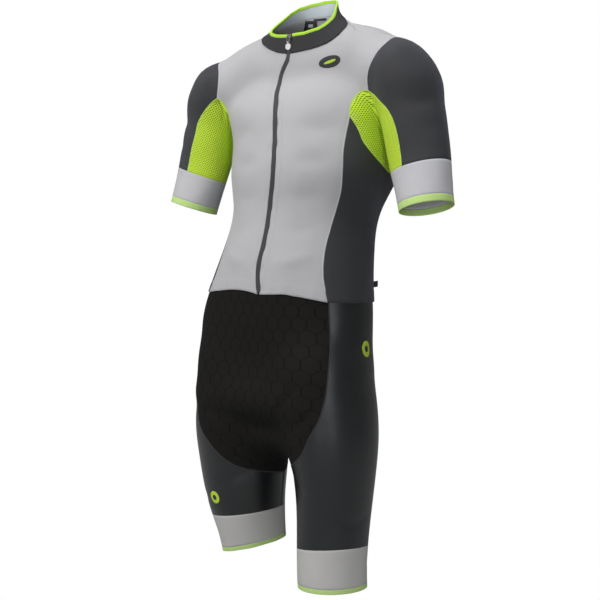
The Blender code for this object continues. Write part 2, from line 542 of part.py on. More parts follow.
def build_jersey(fig):
    d = DIVIDE
    zip_line = fig.seam("zip", 1, 400)
    start = np.argmin(np.linalg.norm(zip_line - fig.at("neck", 139, 0), axis=1))
    collar_line = fig.through(zip_line[:start + 1:10], d["collar_front"])
    front_line = fig.through(zip_line[start::10], d["armhole"] + d["gusset"] + d["side"])
    front_line[0] = collar_line[-1]
    allow_zip = ZIP_HALF + GAP / 2
    side_data = {}
    for side, word in ((1, "left"), (-1, "right")):
        s = {n: fig.seam(n, side, d[k]) for n, k in (("shoulder", "shoulder"), ("armhole_front", "armhole"), ("armhole_back", "armhole"),
             ("gusset_front", "gusset"), ("gusset_back", "gusset"), ("gusset_bottom", "under"),
             ("side_front", "side"),
             ("side_back", "side"), ("sleeve_front", "sleeve"), ("sleeve_back", "sleeve"))}
        fold = fig.settle(np.array(FOLD[side]) * MM * (side, 1, 1))
        s["fold"] = fig.through(np.concatenate([s["gusset_front"][:1], fold, s["gusset_back"][:1]]),
                                d["under"])
        neck = fig.edge("neck", NECKLINE, np.linspace(0, 86, d["neck"] + 1) * side)
        neck[0], neck[-1] = front_line[0], s["shoulder"][0]
        nape = fig.edge("neck", NECKLINE, np.linspace(86, 180, d["neck"] + 1) * side)
        nape[0] = s["shoulder"][0]
        hem_front = fig.through(np.concatenate([front_line[-1:],
                                                fig.edge("trunk", JERSEY_HEM,
                                                         np.linspace(8, 45,
                                                                     7) * side), s["side_front"][-1:]]),
                                d["neck"] + d["shoulder"])
        hem_side = fig.through(np.concatenate([s["side_front"][-1:], fig.edge("trunk", JERSEY_HEM, np.linspace(58, 110, 6) * side), s["side_back"][-1:]]), d["under"])
        hem_back = fig.through(np.concatenate([s["side_back"][-1:],
                                               fig.edge("trunk", JERSEY_HEM,
                                                        np.linspace(125, 180,
                                                                    6) * side)]), d["neck"] + d["shoulder"])
        s.update(neck=neck, nape=nape, hem_front=hem_front, hem_side=hem_side, hem_back=hem_back)
        side_data[side] = s
        line = lambda *parts: np.concatenate([parts[0]] + [p[1:] for p in parts[1:]])
        Sheet(fig, line(neck, s["shoulder"]), hem_front, front_line,
              line(s["armhole_front"], s["gusset_front"], s["side_front"]),
              {"left": allow_zip, "bottom": 0}, side).solid("front_" + word, "jersey")
        Sheet(fig, s["gusset_bottom"], hem_side, s["side_front"], s["side_back"], {"bottom": 0},
              side).solid("side_" + word, "jersey")
        Sheet(fig, s["fold"], s["gusset_bottom"], s["gusset_front"], s["gusset_back"],
              {"left": 0.7, "right": 0.7, "top": 1.6}, side).solid("gusset_body_" + word, "gusset")
        under = np.linspace(187, 360 + CUFF_START[side], d["under"] + 1)
        over = np.linspace(CUFF_START[side], 187, 2 * d["armhole"] + 1)
        cuff_over, cuff_under = fig.ring("cuff", "arm", side, over), fig.ring("cuff", "arm", side, under)
        s["sleeve_front"][-1], s["sleeve_back"][-1] = cuff_over[0], cuff_over[-1]
        cuff_under[0], cuff_under[-1] = cuff_over[-1], cuff_over[0]
        Sheet(fig, line(s["armhole_front"][::-1], s["armhole_back"]), cuff_over, s["sleeve_front"],
              s["sleeve_back"], None, side).solid("sleeve_" + word, "jersey")
        Sheet(fig, s["fold"][::-1], cuff_under, s["sleeve_back"], s["sleeve_front"],
              {"left": 0.5, "right": 0.5, "top": 1.6}, side, 0).solid("gusset_sleeve_" + word, "gusset")
        angles = np.concatenate([over[:-1], under[:-1]])
        turn = slice(None, None, 1) if side > 0 else slice(None, None, -1)
        cuff, trim, hem = (fig.ring(n, "arm", side, angles, low)[turn] for n,
                           low in (("cuff", 0), ("sleeve_hem", -TRIM["sleeve"]), ("sleeve_hem", 0)))
        band("cuff_band_" + word, fig, drawn_in(fig, cuff, -1), drawn_in(fig, trim, 1), 3, "jersey")
        band("cuff_trim_" + word, fig, drawn_in(fig, trim, -1), hem, 1, "jersey")
    left, right = side_data[1], side_data[-1]
    line = lambda *parts: np.concatenate([parts[0]] + [p[1:] for p in parts[1:]])
    Sheet(fig, line(left["shoulder"][::-1], left["nape"], right["nape"][::-1], right["shoulder"]),
          line(left["hem_back"], right["hem_back"][::-1]),
          line(left["armhole_back"], left["gusset_back"], left["side_back"]),
          line(right["armhole_back"], right["gusset_back"], right["side_back"]),
          {"bottom": 0}).solid("back", "jersey")
    # collar and zip
    neckline = line(left["neck"], left["nape"], right["nape"][::-1], right["neck"][::-1])
    quarter = np.concatenate([np.linspace(0, 86, d["neck"] + 1), np.linspace(86, 180, d["neck"] + 1)[1:]])
    angles = np.concatenate([quarter, 360 - quarter[-2::-1]])
    fold_line, top_line = fig.edge("neck", COLLAR_TOP, angles, BINDING), fig.edge("neck", COLLAR_TOP, angles)
    fold_line[0] = fold_line[-1] = fig.at("neck", 106 + BINDING, 0)[0]
    top_line[0] = top_line[-1] = zip_line[0]
    stand = fig.through(np.stack([fold_line[0], neckline[0]]), d["collar_front"])
    stand[0], stand[-1] = fold_line[0], neckline[0]
    cuts = {"left": allow_zip, "right": allow_zip}
    for name, layer, lift in (("collar", "collar", 0.6), ("collar_facing", "facing", 1.4)):
        Sheet(fig, fold_line, neckline, stand, stand, {**cuts, "bottom": lift}).solid(name, layer)
    rim = np.stack([top_line[0], fold_line[0]])
    Sheet(fig, top_line, fold_line, rim, rim, {**cuts, "top": 0, "bottom": 0.3}).solid("collar_binding",
                                                                                       "binding")
    run = np.concatenate([zip_line[:1], stand, front_line[1:]])
    along = unit(np.gradient(run, axis=0))
    across = unit(np.cross(along, fig.normal(run))) * -ZIP_HALF * MM
    strip = fig.settle(np.stack([run - across, run, run + across], 1), 3)
    wall("zip_chain", strip, fig, *LAYERS["zip"])
    return zip_line


def build_shorts(fig):
    d = DIVIDE
    waist = lambda a, b, n: fig.at("trunk", 335, np.linspace(a, b, n + 1))
    line = lambda *parts: np.concatenate([parts[0]] + [p[1:] for p in parts[1:]])
    s = {}
    for side, word in ((1, "left"), (-1, "right")):
        front, seat = fig.seam("front_panel", side, d["shorts"]), fig.seam("seat", side, d["shorts"])
        seat[-1] = front[-1]
        s[side] = front, seat
        mean, extra, toward = RINGS["band_" + word]
        foot = mean + extra * np.cos(np.radians(258 - toward))
        first = SEAMS["front_panel_" + word][-1][1]
        inner = fig.through(np.concatenate([front[-1:], fig.at("leg", np.linspace(first + 15, foot - 8, 5), 258, side), fig.ring("band", "leg", side, [258])]), d["inner_leg"])
        angles = np.linspace(-102, 258, d["leg_ring"] + 1)
        ring = fig.ring("band", "leg", side, angles)
        ring[0] = ring[-1] = inner[-1]
        ends = (51, 118) if side > 0 else (53, 118)
        top = fig.at("trunk", 335, np.linspace(*ends, d["leg_ring"] + 1), side)
        top[0], top[-1] = front[0], seat[0]
        Sheet(fig, top, ring, line(front, inner), line(seat, inner), {"top": 0},
              side).solid("leg_panel_" + word, "shorts")
        turn = slice(None, None, 1) if side > 0 else slice(None, None, -1)
        upper, trim, hem = (fig.ring(n, "leg", side, angles[:-1], low)[turn] for n,
                            low in (("band", 0), ("leg_hem", -TRIM["leg"]), ("leg_hem", 0)))
        band("leg_band_" + word, fig, drawn_in(fig, upper, -1), drawn_in(fig, trim, 1), 3, "shorts")
        band("leg_trim_" + word, fig, drawn_in(fig, trim, -1), hem, 1, "shorts")
    (front_l, seat_l), (front_r, seat_r) = s[1], s[-1]
    under = fig.through(np.concatenate([front_r[-1:], fig.settle(np.array([CROTCH]) * MM, 8),
                                        front_l[-1:]]), d["shorts_top"])
    Sheet(fig, waist(-53, 51, d["shorts_top"]), under, front_r, front_l, {"top": 0}).solid("shorts_front",
                                                                                           "shorts")
    Sheet(fig, waist(118, 242, d["shorts_top"]), under[::-1], seat_l, seat_r,
          {"top": 0}).solid("shorts_seat", "shorts")


def build_pull(fig):
    point = fig.at("neck", 112, 0)[0] * (0, 1, 1)
    out = unit(fig.normal(point) * (0, 1, 1))
    frame = np.stack([np.array((1.0, 0, 0)), out,
                      np.cross((1.0, 0, 0), out)])  # across, out of the cloth, up it
    frame[2] *= np.sign(frame[2][2])
    half, tall, top = PULL["slider"]
    keel, low, shelf = PULL["keel"]
    eye = point + out * PULL["eye_height"] * MM
    r_in, r_out, thick = PULL["bail"]
    bail = round_plate(r_in, r_out, thick / 2)
    join("zip_slider", [box((-half, half), (shelf, top), (-tall / 2, tall / 2), frame, point),
                        box((-keel, keel), (low, shelf + 0.4), (-tall / 2 + 0.8, tall / 2 - 0.8), frame,
                            point),
                        (bail[0] + eye, bail[1])])
    link = rounded_ring(*PULL["link"], PULL["wire"])
    join("zip_link", [(link[0] + eye, link[1])])
    second = eye + np.array((0, 0, -PULL["link"][1])) * MM
    r, thick = PULL["disc"]
    disc = round_plate(0, r, thick / 2, 32)
    flat = disc[0][:, [1, 0, 2]] + second + np.array((0, 0, -r - 1.55)) * MM
    small = round_plate(r_in, r_out, PULL["bail"][2] / 2)
    join("zip_disc", [(flat, disc[1]), (small[0] + second, small[1])])
    return eye, second


def build_small(fig):
    back = bpy.data.objects["back"].data
    name, along, angle = TAB["at"]
    point = fig.at(name, along, angle)[0]
    out = fig.normal(point)
    across = unit(np.cross(out, (0, 0, 1.0)))
    frame = np.stack([across, out, np.cross(across, out)])
    tall, thick = TAB["tall"] / 2, TAB["thick"] / 2
    join("side_tab", [box((-thick, thick), TAB["out"], (-tall, tall), frame, point)])
    along, angle = (np.linspace(*LABEL[k], n) for k, n in (("along", 3), ("angle", 4)))
    grid = np.stack([fig.at("neck", a, angle) for a in along])
    skin = BVHTree.FromPolygons([v.co for v in back.vertices], [tuple(p.vertices) for p in back.polygons])
    under = np.array([[skin.ray_cast(p - n * 4 * MM, n)[0] for p, n in zip(*pair)] for pair in zip(grid, fig.normal(grid))])
    wall("neck_label", under, fig, *LAYERS["label"])


def dress(suit):
    """Gives each piece its own material and moves it to the suit's collection."""
    for obj in list(bpy.context.scene.collection.objects):
        finish = WEARS[max((k for k in WEARS if obj.name.startswith(k)), key=len)]
        color, roughness, metallic = FINISHES[finish]
        material = bpy.data.materials.new(obj.name + "_" + finish)
        material.use_nodes = True
        shader = material.node_tree.nodes["Principled BSDF"].inputs
        shader["Base Color"].default_value = (*color, 1)
        shader["Roughness"].default_value = roughness
        shader["Metallic"].default_value = metallic
        obj.data.materials.clear()
        obj.data.materials.append(material)
        suit.objects.link(obj)
        bpy.context.scene.collection.objects.unlink(obj)


def main():
    for obj in list(bpy.data.objects):
        bpy.data.objects.remove(obj)
    suit = bpy.data.collections.new("cycling_speed_suit")
    bpy.context.scene.collection.children.link(suit)
    figure = Figure()
    build_jersey(figure)
    build_shorts(figure)
    eye, second = build_pull(figure)
    build_small(figure)
    dress(suit)
    print("hinges", np.round(eye, 5).tolist(), np.round(second, 5).tolist())
    print("triangles", sum(len(p.vertices) - 2 for o in bpy.data.objects for p in o.data.polygons))


main()
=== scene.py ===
"""Looks of the cycling speed suit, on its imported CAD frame. Metres in the model, millimetres and degrees
in the tables.

All cloth lies on one soft figure, a union of tapered tubes. Each panel is a grid of points on it between
its sewn
edges, lifted by its layer and by soft creases, and closed to a thin wall. Seams, threads and zip follow
the same lines.
"""
import logging
import math
from dataclasses import dataclass, field
from enum import Enum

import bpy
import numpy as np
from mathutils import Matrix, Vector


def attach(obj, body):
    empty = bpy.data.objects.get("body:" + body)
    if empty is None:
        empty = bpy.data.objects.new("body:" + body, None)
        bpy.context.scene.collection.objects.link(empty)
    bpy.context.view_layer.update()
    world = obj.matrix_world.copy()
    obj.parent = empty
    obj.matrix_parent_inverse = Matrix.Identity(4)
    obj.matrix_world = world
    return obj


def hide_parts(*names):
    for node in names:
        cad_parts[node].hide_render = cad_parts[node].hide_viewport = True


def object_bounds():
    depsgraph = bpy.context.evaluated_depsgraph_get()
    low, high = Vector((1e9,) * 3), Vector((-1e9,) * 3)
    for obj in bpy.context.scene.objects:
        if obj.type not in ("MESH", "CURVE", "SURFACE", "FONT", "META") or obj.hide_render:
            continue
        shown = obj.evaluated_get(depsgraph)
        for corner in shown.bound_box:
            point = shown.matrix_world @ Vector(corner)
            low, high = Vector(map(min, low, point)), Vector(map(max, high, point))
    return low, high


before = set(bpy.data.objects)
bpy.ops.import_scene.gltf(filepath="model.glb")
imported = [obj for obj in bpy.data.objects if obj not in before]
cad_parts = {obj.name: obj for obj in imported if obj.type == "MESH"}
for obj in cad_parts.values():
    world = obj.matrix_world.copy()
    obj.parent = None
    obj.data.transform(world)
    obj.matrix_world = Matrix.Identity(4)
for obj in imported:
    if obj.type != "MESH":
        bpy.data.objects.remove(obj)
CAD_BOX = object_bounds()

LOG = logging.getLogger("speed_suit")
MM = 0.001
Array = np.ndarray

# The plain figure under the cloth, as soft tubes. Rows: distance down the tube's axis, the section's shift
# aside and
# ahead of it, half width, front depth, back depth.
TUBES = {
    "trunk": {"from": (0, 0, -85), "to": (0, 0, -700), "power": 2.25, "cap": 50, "blend": (0, 0), "rows": [
        (0, 0, -20, 105, 66, 82), (50, -2, -21, 141, 100, 98), (110, 6, -26, 148, 124, 104),
        (170, 7, -22, 147, 130, 102), (230, -3, -15, 130, 119, 93), (300, -10, 4, 135, 111, 86),
        (370, -21, 18, 153, 101, 91), (440, -30, 22, 162, 95, 104), (515, -31, 24, 150, 96, 118),
        (570, -32, 28, 155, 93, 110), (610, -27, 8, 135, 80, 95)]},
    "shoulder": {"from": (47, 24, -38), "to": (178, 2, -110), "power": 2, "cap": 47, "blend": (60, 60),
                 "rows": [
        (0, 0, 0, 40, 50, 60), (80, 0, 0, 53, 48, 54), (170, 0, 0, 42, 51, 56)]},
    "neck": {"from": (0, 6, 80), "to": (0, 12, -90), "power": 2, "cap": 30, "blend": (28, 28), "rows": [
        (0, 0, 0, 51, 46, 50), (50, 0, 0, 46, 47, 51), (85, 0, 0, 58, 53, 56), (112, 0, 0, 66, 56, 60),
        (170, 0, 0, 74, 60, 62)]},
    "arm": {"from": (189, 7, -101), "to": (239, -22, -313), "power": 2, "cap": 45, "blend": (45, 26),
            "rows": [
        (0, 0, 0, 33, 65, 61), (50, 0, 0, 45, 55, 58), (100, 0, 0, 49, 46, 48), (150, 0, 0, 48, 37, 41),
        (205, 0, 0, 42, 41, 44), (255, 0, 0, 41, 42, 44)]},
    "leg_left": {"from": (65, -43, -600), "to": (79, -36, -945), "power": 2, "cap": 100, "blend": (45, 45),
                 "rows": [
        (0, 0, 0, 78, 82, 95), (80, 5, -4, 78, 85, 94), (160, 10, -5, 67, 78, 84), (240, 5, -4, 61, 68, 73),
        (345, 0, 0, 59, 64, 60), (400, 0, 0, 59, 62, 60)]},
    "leg_right": {"from": (-117, -31, -600), "to": (-111, -6, -945), "power": 2, "cap": 100,
                  "blend": (45, 45), "rows": [
        (0, 0, 0, 78, 81, 96), (80, 5, 4, 81, 88, 94), (160, 6, 5, 81, 83, 85), (240, 4, 7, 70, 76, 73),
        (345, 0, 0, 59, 61, 62), (400, 0, 0, 59, 62, 62)]},
}

# Seams, as points: (tube, distance down it, angle from its front), or ("point", x, y, z). The wearer's
# right side takes
# them mirrored, from a row of its own where there is one.
SEAMS = {
    "zip": [("neck", 106, 0), ("neck", 122, 0), ("neck", 139, 0), ("trunk", -14, -1), ("trunk", 0, -5),
            ("trunk", 11, -7), ("trunk", 35, -4), ("trunk", 59, 0), ("trunk", 111, 0), ("trunk", 173, 1),
            ("trunk", 228, 1), ("trunk", 291, 1), ("trunk", 329, 0), ("trunk", 372, 3)],
    "shoulder": [("neck", 88, 86), ("shoulder", 30, 68), ("shoulder", 66, 59), ("shoulder", 93, 61),
                 ("shoulder", 122, 70)],
    "armhole_front_left": [("shoulder", 122, 70), ("shoulder", 132, 40), ("shoulder", 130, 23),
                           ("shoulder", 128, 2),
                           ("shoulder", 130, -23), ("point", 143, -35, -130)],
    "armhole_front_right": [("shoulder", 122, 70), ("shoulder", 121, 45), ("shoulder", 123, 20),
                            ("shoulder", 132, -1),
                            ("point", 158, -47, -119)],
    "armhole_back": [("shoulder", 122, 70), ("shoulder", 127, 120), ("shoulder", 128, 160),
                     ("shoulder", 130, 195),
                     ("point", 139, 66, -130)],
    "gusset_front_left": [("point", 143, -35, -130), ("point", 131, -36, -130), ("trunk", 52, 56),
                          ("trunk", 66, 51),
                          ("trunk", 85, 49)],
    "gusset_front_right": [("point", 158, -47, -119), ("point", 150, -42, -126), ("point", 146, -40, -137),
                           ("point", 144, -41, -148), ("point", 143, -44, -160)],
    "gusset_back": [("point", 139, 66, -130), ("trunk", 52, 124), ("trunk", 66, 129), ("trunk", 85, 131)],
    "gusset_bottom_left": [("trunk", 85, 49), ("trunk", 108, 55), ("trunk", 125, 58), ("trunk", 141, 64),
                           ("trunk", 157, 73), ("trunk", 172, 90), ("trunk", 157, 107), ("trunk", 141, 116),
                           ("trunk", 125, 122), ("trunk", 108, 125), ("trunk", 85, 131)],
    "gusset_bottom_right": [("point", 143, -44, -160), ("trunk", 110, 60), ("trunk", 128, 62),
                            ("trunk", 144, 67),
                            ("trunk", 159, 75), ("trunk", 172, 90), ("trunk", 157, 107), ("trunk", 141, 116),
                            ("trunk", 125, 122), ("trunk", 108, 125), ("trunk", 85, 131)],
    "side_front_right": [("point", 143, -44, -160), ("trunk", 115, 54), ("trunk", 145, 53),
                         ("trunk", 175, 53),
                         ("trunk", 204, 51), ("trunk", 232, 48), ("trunk", 266, 46.5), ("trunk", 299, 46),
                         ("trunk", 340, 46), ("trunk", 376, 50)],
    "side_front_left": [("trunk", 85, 49), ("trunk", 115, 46), ("trunk", 145, 44.5), ("trunk", 175, 46),
                        ("trunk", 204, 49), ("trunk", 232, 50), ("trunk", 266, 48.5), ("trunk", 299, 46),
                        ("trunk", 340, 45.5), ("trunk", 382, 49)],
    "side_back": [("trunk", 85, 131), ("trunk", 145, 132), ("trunk", 232, 126), ("trunk", 299, 121),
                  ("trunk", 388, 118)],
    "sleeve_front_right": [("point", 158, -47, -119), ("arm", 29, -36), ("arm", 38, -27), ("arm", 51, -16),
                           ("arm", 64, -8), ("arm", 90, -4), ("arm", 115, 1), ("arm", 152, 4)],
    "sleeve_front_left": [("point", 143, -35, -130), ("arm", 47, -41), ("arm", 68, -22), ("arm", 87, -14),
                          ("arm", 112, -12), ("arm", 136, -14), ("arm", 159, -17)],
    "sleeve_back": [("point", 139, 66, -130), ("arm", 33, 216), ("arm", 62, 204), ("arm", 90, 197),
                    ("arm", 115, 193),
                    ("arm", 138, 190), ("arm", 156, 187)],
    "front_panel_left": [("trunk", 335, 51), ("trunk", 381, 50), ("trunk", 439, 50), ("trunk", 498, 47),
                         ("leg", 20, 34), ("leg", 54, 24), ("leg", 82, 10), ("leg", 113, -6),
                         ("leg", 131, -25),
                         ("leg", 144, -46), ("leg", 155, -72), ("leg", 166, -102)],
    "front_panel_right": [("trunk", 335, 53), ("trunk", 381, 57), ("trunk", 439, 62), ("trunk", 500, 60),
                          ("trunk", 550, 53), ("leg", 68, 32), ("leg", 91, 22), ("leg", 116, 6),
                          ("leg", 138, -9),
                          ("leg", 155, -25), ("leg", 167, -46), ("leg", 178, -72), ("leg", 190, -102)],
    "seat_left": [("trunk", 335, 118), ("trunk", 400, 121), ("trunk", 470, 127), ("trunk", 530, 136),
                  ("leg", 70, 160),
                  ("leg", 118, 185), ("leg", 148, 215), ("leg", 162, 240), ("leg", 166, 258)],
    "seat_right": [("trunk", 335, 118), ("trunk", 400, 121), ("trunk", 470, 127), ("trunk", 530, 136),
                   ("leg", 80, 160), ("leg", 134, 185), ("leg", 170, 215), ("leg", 186, 240),
                   ("leg", 190, 258)],
}
CROTCH = (-20, -19, -752)
# Underarm seam, from the front of the armhole to its back; it lies in the crease between the arm and the
# chest.
FOLD = {1: [(151, -24, -162), (156, -4, -194), (157.3, 9, -197), (158.7, 22, -186), (156.5, 41, -161)],
        -1: [(150.4, -23.5, -160.5), (151.5, -6, -175), (151.6, 5, -177), (153.5, 17.4, -175.4),
             (155.7, 28.5, -170),
             (155, 43, -157)]}

# Closed edges. Rings of arms and legs: mean distance down the tube, extra at one angle, that angle.
RINGS = {
    "cuff_left": (159.5, 0, 0), "cuff_right": (154, 4, -70), "sleeve_hem_left": (224.5, 0, 0),
    "sleeve_hem_right": (217.5, 2, -80), "band_left": (291.5, -17, 30), "band_right": (266, -17, -50),
    "leg_hem_left": (361, -11, 20), "leg_hem_right": (336, -20, -65),
}
CUFF_START = {1: -17, -1: 4}  # angle where the front of the sleeve gusset meets the cuff
TRIM = {"sleeve": 10.8, "leg": 8.0}
# Edges with a row for each angle: angle, distance down the tube.
NECKLINE = [(-180, 60), (-150, 61), (-125, 66), (-105, 75), (-86, 88), (-68, 102), (-53, 115), (-39, 124),
            (-20, 133),
            (0, 139), (15, 137), (29, 135), (40, 132), (49, 128), (56, 122), (62, 115), (68, 107),
            (77, 97.5), (86, 90),
            (105, 76), (125, 66), (150, 61), (180, 60)]
COLLAR_TOP = [(-180, 33), (-150, 36), (-125, 43), (-105, 54), (-86, 71), (-67, 87), (-45, 97), (-27, 102.5),
              (-11, 105.5), (0, 106), (22, 105), (44, 99), (57, 91), (70, 81), (86, 68), (105, 53), (125, 43),
              (150, 36), (180, 33)]
JERSEY_HEM = [(-180, 398), (-118, 385), (-80, 380), (-50, 376), (-31, 370), (-18, 366), (-7, 367),
              (-2, 371), (3, 372),
              (21, 370), (34, 375), (49, 382), (67, 384), (100, 386), (118, 388), (180, 398)]
BINDING = 5.0
ZIP_HALF = 3.2
ZIP_SHOWN = 4.4  # half width of the zip strip between the front panels

# Layers, heights over the figure: outer face, inner face.
LAYERS = {"shorts": (0.0, -1.3), "jersey": (2.2, 1.0), "collar": (3.4, 2.3), "facing": (2.0, 0.9),
          "binding": (3.9, 0.5), "zip": (2.5, 1.0)}
GUSSET_DROP = 2.8  # how far the gussets sink towards the underarm fold

# Coarse divisions of each seam, and how many fine ones stand in each.
DIVIDE = {"neck": 7, "shoulder": 5, "armhole": 5, "gusset": 3, "side": 12, "under": 10, "sleeve": 6,
          "shorts": 15,
          "inner_leg": 5, "shorts_top": 16, "leg_ring": 18, "collar_front": 2}
FINE = 6
# Cells pressed into the shorts: width, row height, groove depth.
CELL = (25.0, 21.0, 0.16)


class Hold(Enum):
    """How a sheet of cloth is held."""
    STRETCHED = "stretched"
    FOLDED = "folded"


class Spline:
    """Cubic spline through rows, level at both ends and beyond them."""

    def __init__(self, xs: Array, ys: Array) -> None:
        """Solves the bends so that value and slope run on at each row.

        Args:
            xs: places of the rows, rising.
            ys: values at them, one row each.
        """
        n, h = len(xs), np.diff(xs)
        system, slope = np.eye(n), np.zeros((n,) + ys.shape[1:])
        step = np.diff(ys, axis=0) / h.reshape((-1,) + (1,) * (ys.ndim - 1))
        system[0, :2], system[-1, -2:] = (2 * h[0], h[0]), (h[-1], 2 * h[-1])
        slope[0], slope[-1] = 6 * step[0], -6 * step[-1]
        for i in range(1, n - 1):
            system[i, i - 1:i + 2] = h[i - 1], 2 * (h[i - 1] + h[i]), h[i]
            slope[i] = 6 * (step[i] - step[i - 1])
        bend = np.linalg.solve(system, slope)
        self.xs = xs
        h = h.reshape((-1,) + (1,) * (ys.ndim - 1))
        self.terms = np.stack([ys[:-1], step - h * (2 * bend[:-1] + bend[1:]) / 6, bend[:-1] / 2,
                               (bend[1:] - bend[:-1]) / (6 * h)])

    def __call__(self, x: Array) -> Array:
        """Value a0 + a1 t + a2 t^2 + a3 t^3 of the span that holds x, with t from the span's start.

        Args:
            x: places, of any shape.
        Returns:
            The values there.
        """
        x = np.clip(x, self.xs[0], self.xs[-1])
        i = np.clip(np.searchsorted(self.xs, x) - 1, 0, len(self.xs) - 2)
        t = x - self.xs[i]
        a0, a1, a2, a3 = self.terms[:, i]
        t = t[..., None] if a0.ndim > t.ndim else t
        return a0 + t * (a1 + t * (a2 + t * a3))


def unit(v: Array) -> Array:
    """Vectors of length one, v divided by its own length."""
    return v / np.maximum(np.linalg.norm(v, axis=-1, keepdims=True), 1e-12)


def joined(*parts: Array) -> Array:
    """Lines end to end, each shared end kept once."""
    return np.concatenate([parts[0]] + [p[1:] for p in parts[1:]])


def smooth(t: Array) -> Array:
    """Soft step 3t^2 - 2t^3 from 0 to 1, flat outside."""
    t = np.clip(t, 0, 1)
    return t * t * (3 - 2 * t)


class Tube:
    """Tapered tube with a super-ellipse section that changes down its axis."""

    def __init__(self, name: str, side: int) -> None:
        """Sets the axis and its cross directions.

        Args:
            name: row of TUBES.
            side: 1 for the wearer's left, -1 for the mirror image.
        """
        spec = TUBES[name]
        mirror = np.array((side, 1, 1)) * MM
        self.start, end = np.array(spec["from"]) * mirror, np.array(spec["to"]) * mirror
        self.down = unit(end - self.start)
        self.front = unit(np.array((0, -1.0, 0)) + self.down * self.down[1])
        across = np.cross(self.front, self.down)
        if name == "shoulder":
            self.side = across * np.sign(across[2])
        else:
            self.side = across * np.sign(across[0]) * (1 if name in ("trunk", "neck") else np.sign(end[0]))
        rows = np.array(spec["rows"], float) * MM
        self.end, self.size = rows[-1, 0], Spline(rows[:, 0], rows[:, 1:])
        self.power, self.cap, self.blend = spec["power"], spec["cap"] * MM, [v * MM for v in spec["blend"]]

    def local(self, p: Array) -> tuple[Array, Array, Array]:
        """Places across, ahead of and down the axis."""
        q = p - self.start
        return q @ self.side, q @ self.front, q @ self.down

    def distance(self, p: Array) -> Array:
        """Signed distance r - r / rho, with rho = (|u/a|^n + |v/b|^n + |over/cap|^n)^(1/n).

        Args:
            p: points.
        Returns:
            Distances, below zero inside.
        """
        u, v, t = self.local(p)
        aside, ahead, half, fore, back = np.moveaxis(self.size(t), -1, 0)
        u, v = u - aside, v - ahead
        over = np.maximum(-t, 0) + np.maximum(t - self.end, 0)
        rho = ((np.abs(u) / half)**self.power + (np.abs(v) / np.where(v > 0, fore, back))**self.power
               + (over / self.cap)**self.power)**(1 / self.power) + 1e-9
        r = np.sqrt(u * u + v * v + over * over)
        return r - r / rho

    def softness(self, p: Array) -> Array:
        """Width of the soft union with the rest, from the tube's high value to its low one further down."""
        high, low = self.blend
        return high + (low - high) * smooth((self.local(p)[2] - 0.02) / 0.07)

    def ray(self, along: Array, angle: Array) -> tuple[Array, Array]:
        """Axis points and outward directions (half sin, depth cos) of the section.

        Args:
            along: distances down the axis, metres.
            angle: angles from the front, radians.
        Returns:
            Points on the axis and directions as long as the section is deep there.
        """
        aside, ahead, half, fore, back = np.moveaxis(self.size(along), -1, 0)
        s, c = np.sin(angle), np.cos(angle)
        out = (half * s)[..., None] * self.side + (np.where(c > 0, fore, back) * c)[..., None] * self.front
        middle = (self.start + along[..., None] * self.down + aside[..., None] * self.side
                  + ahead[..., None] * self.front)
        return middle, out


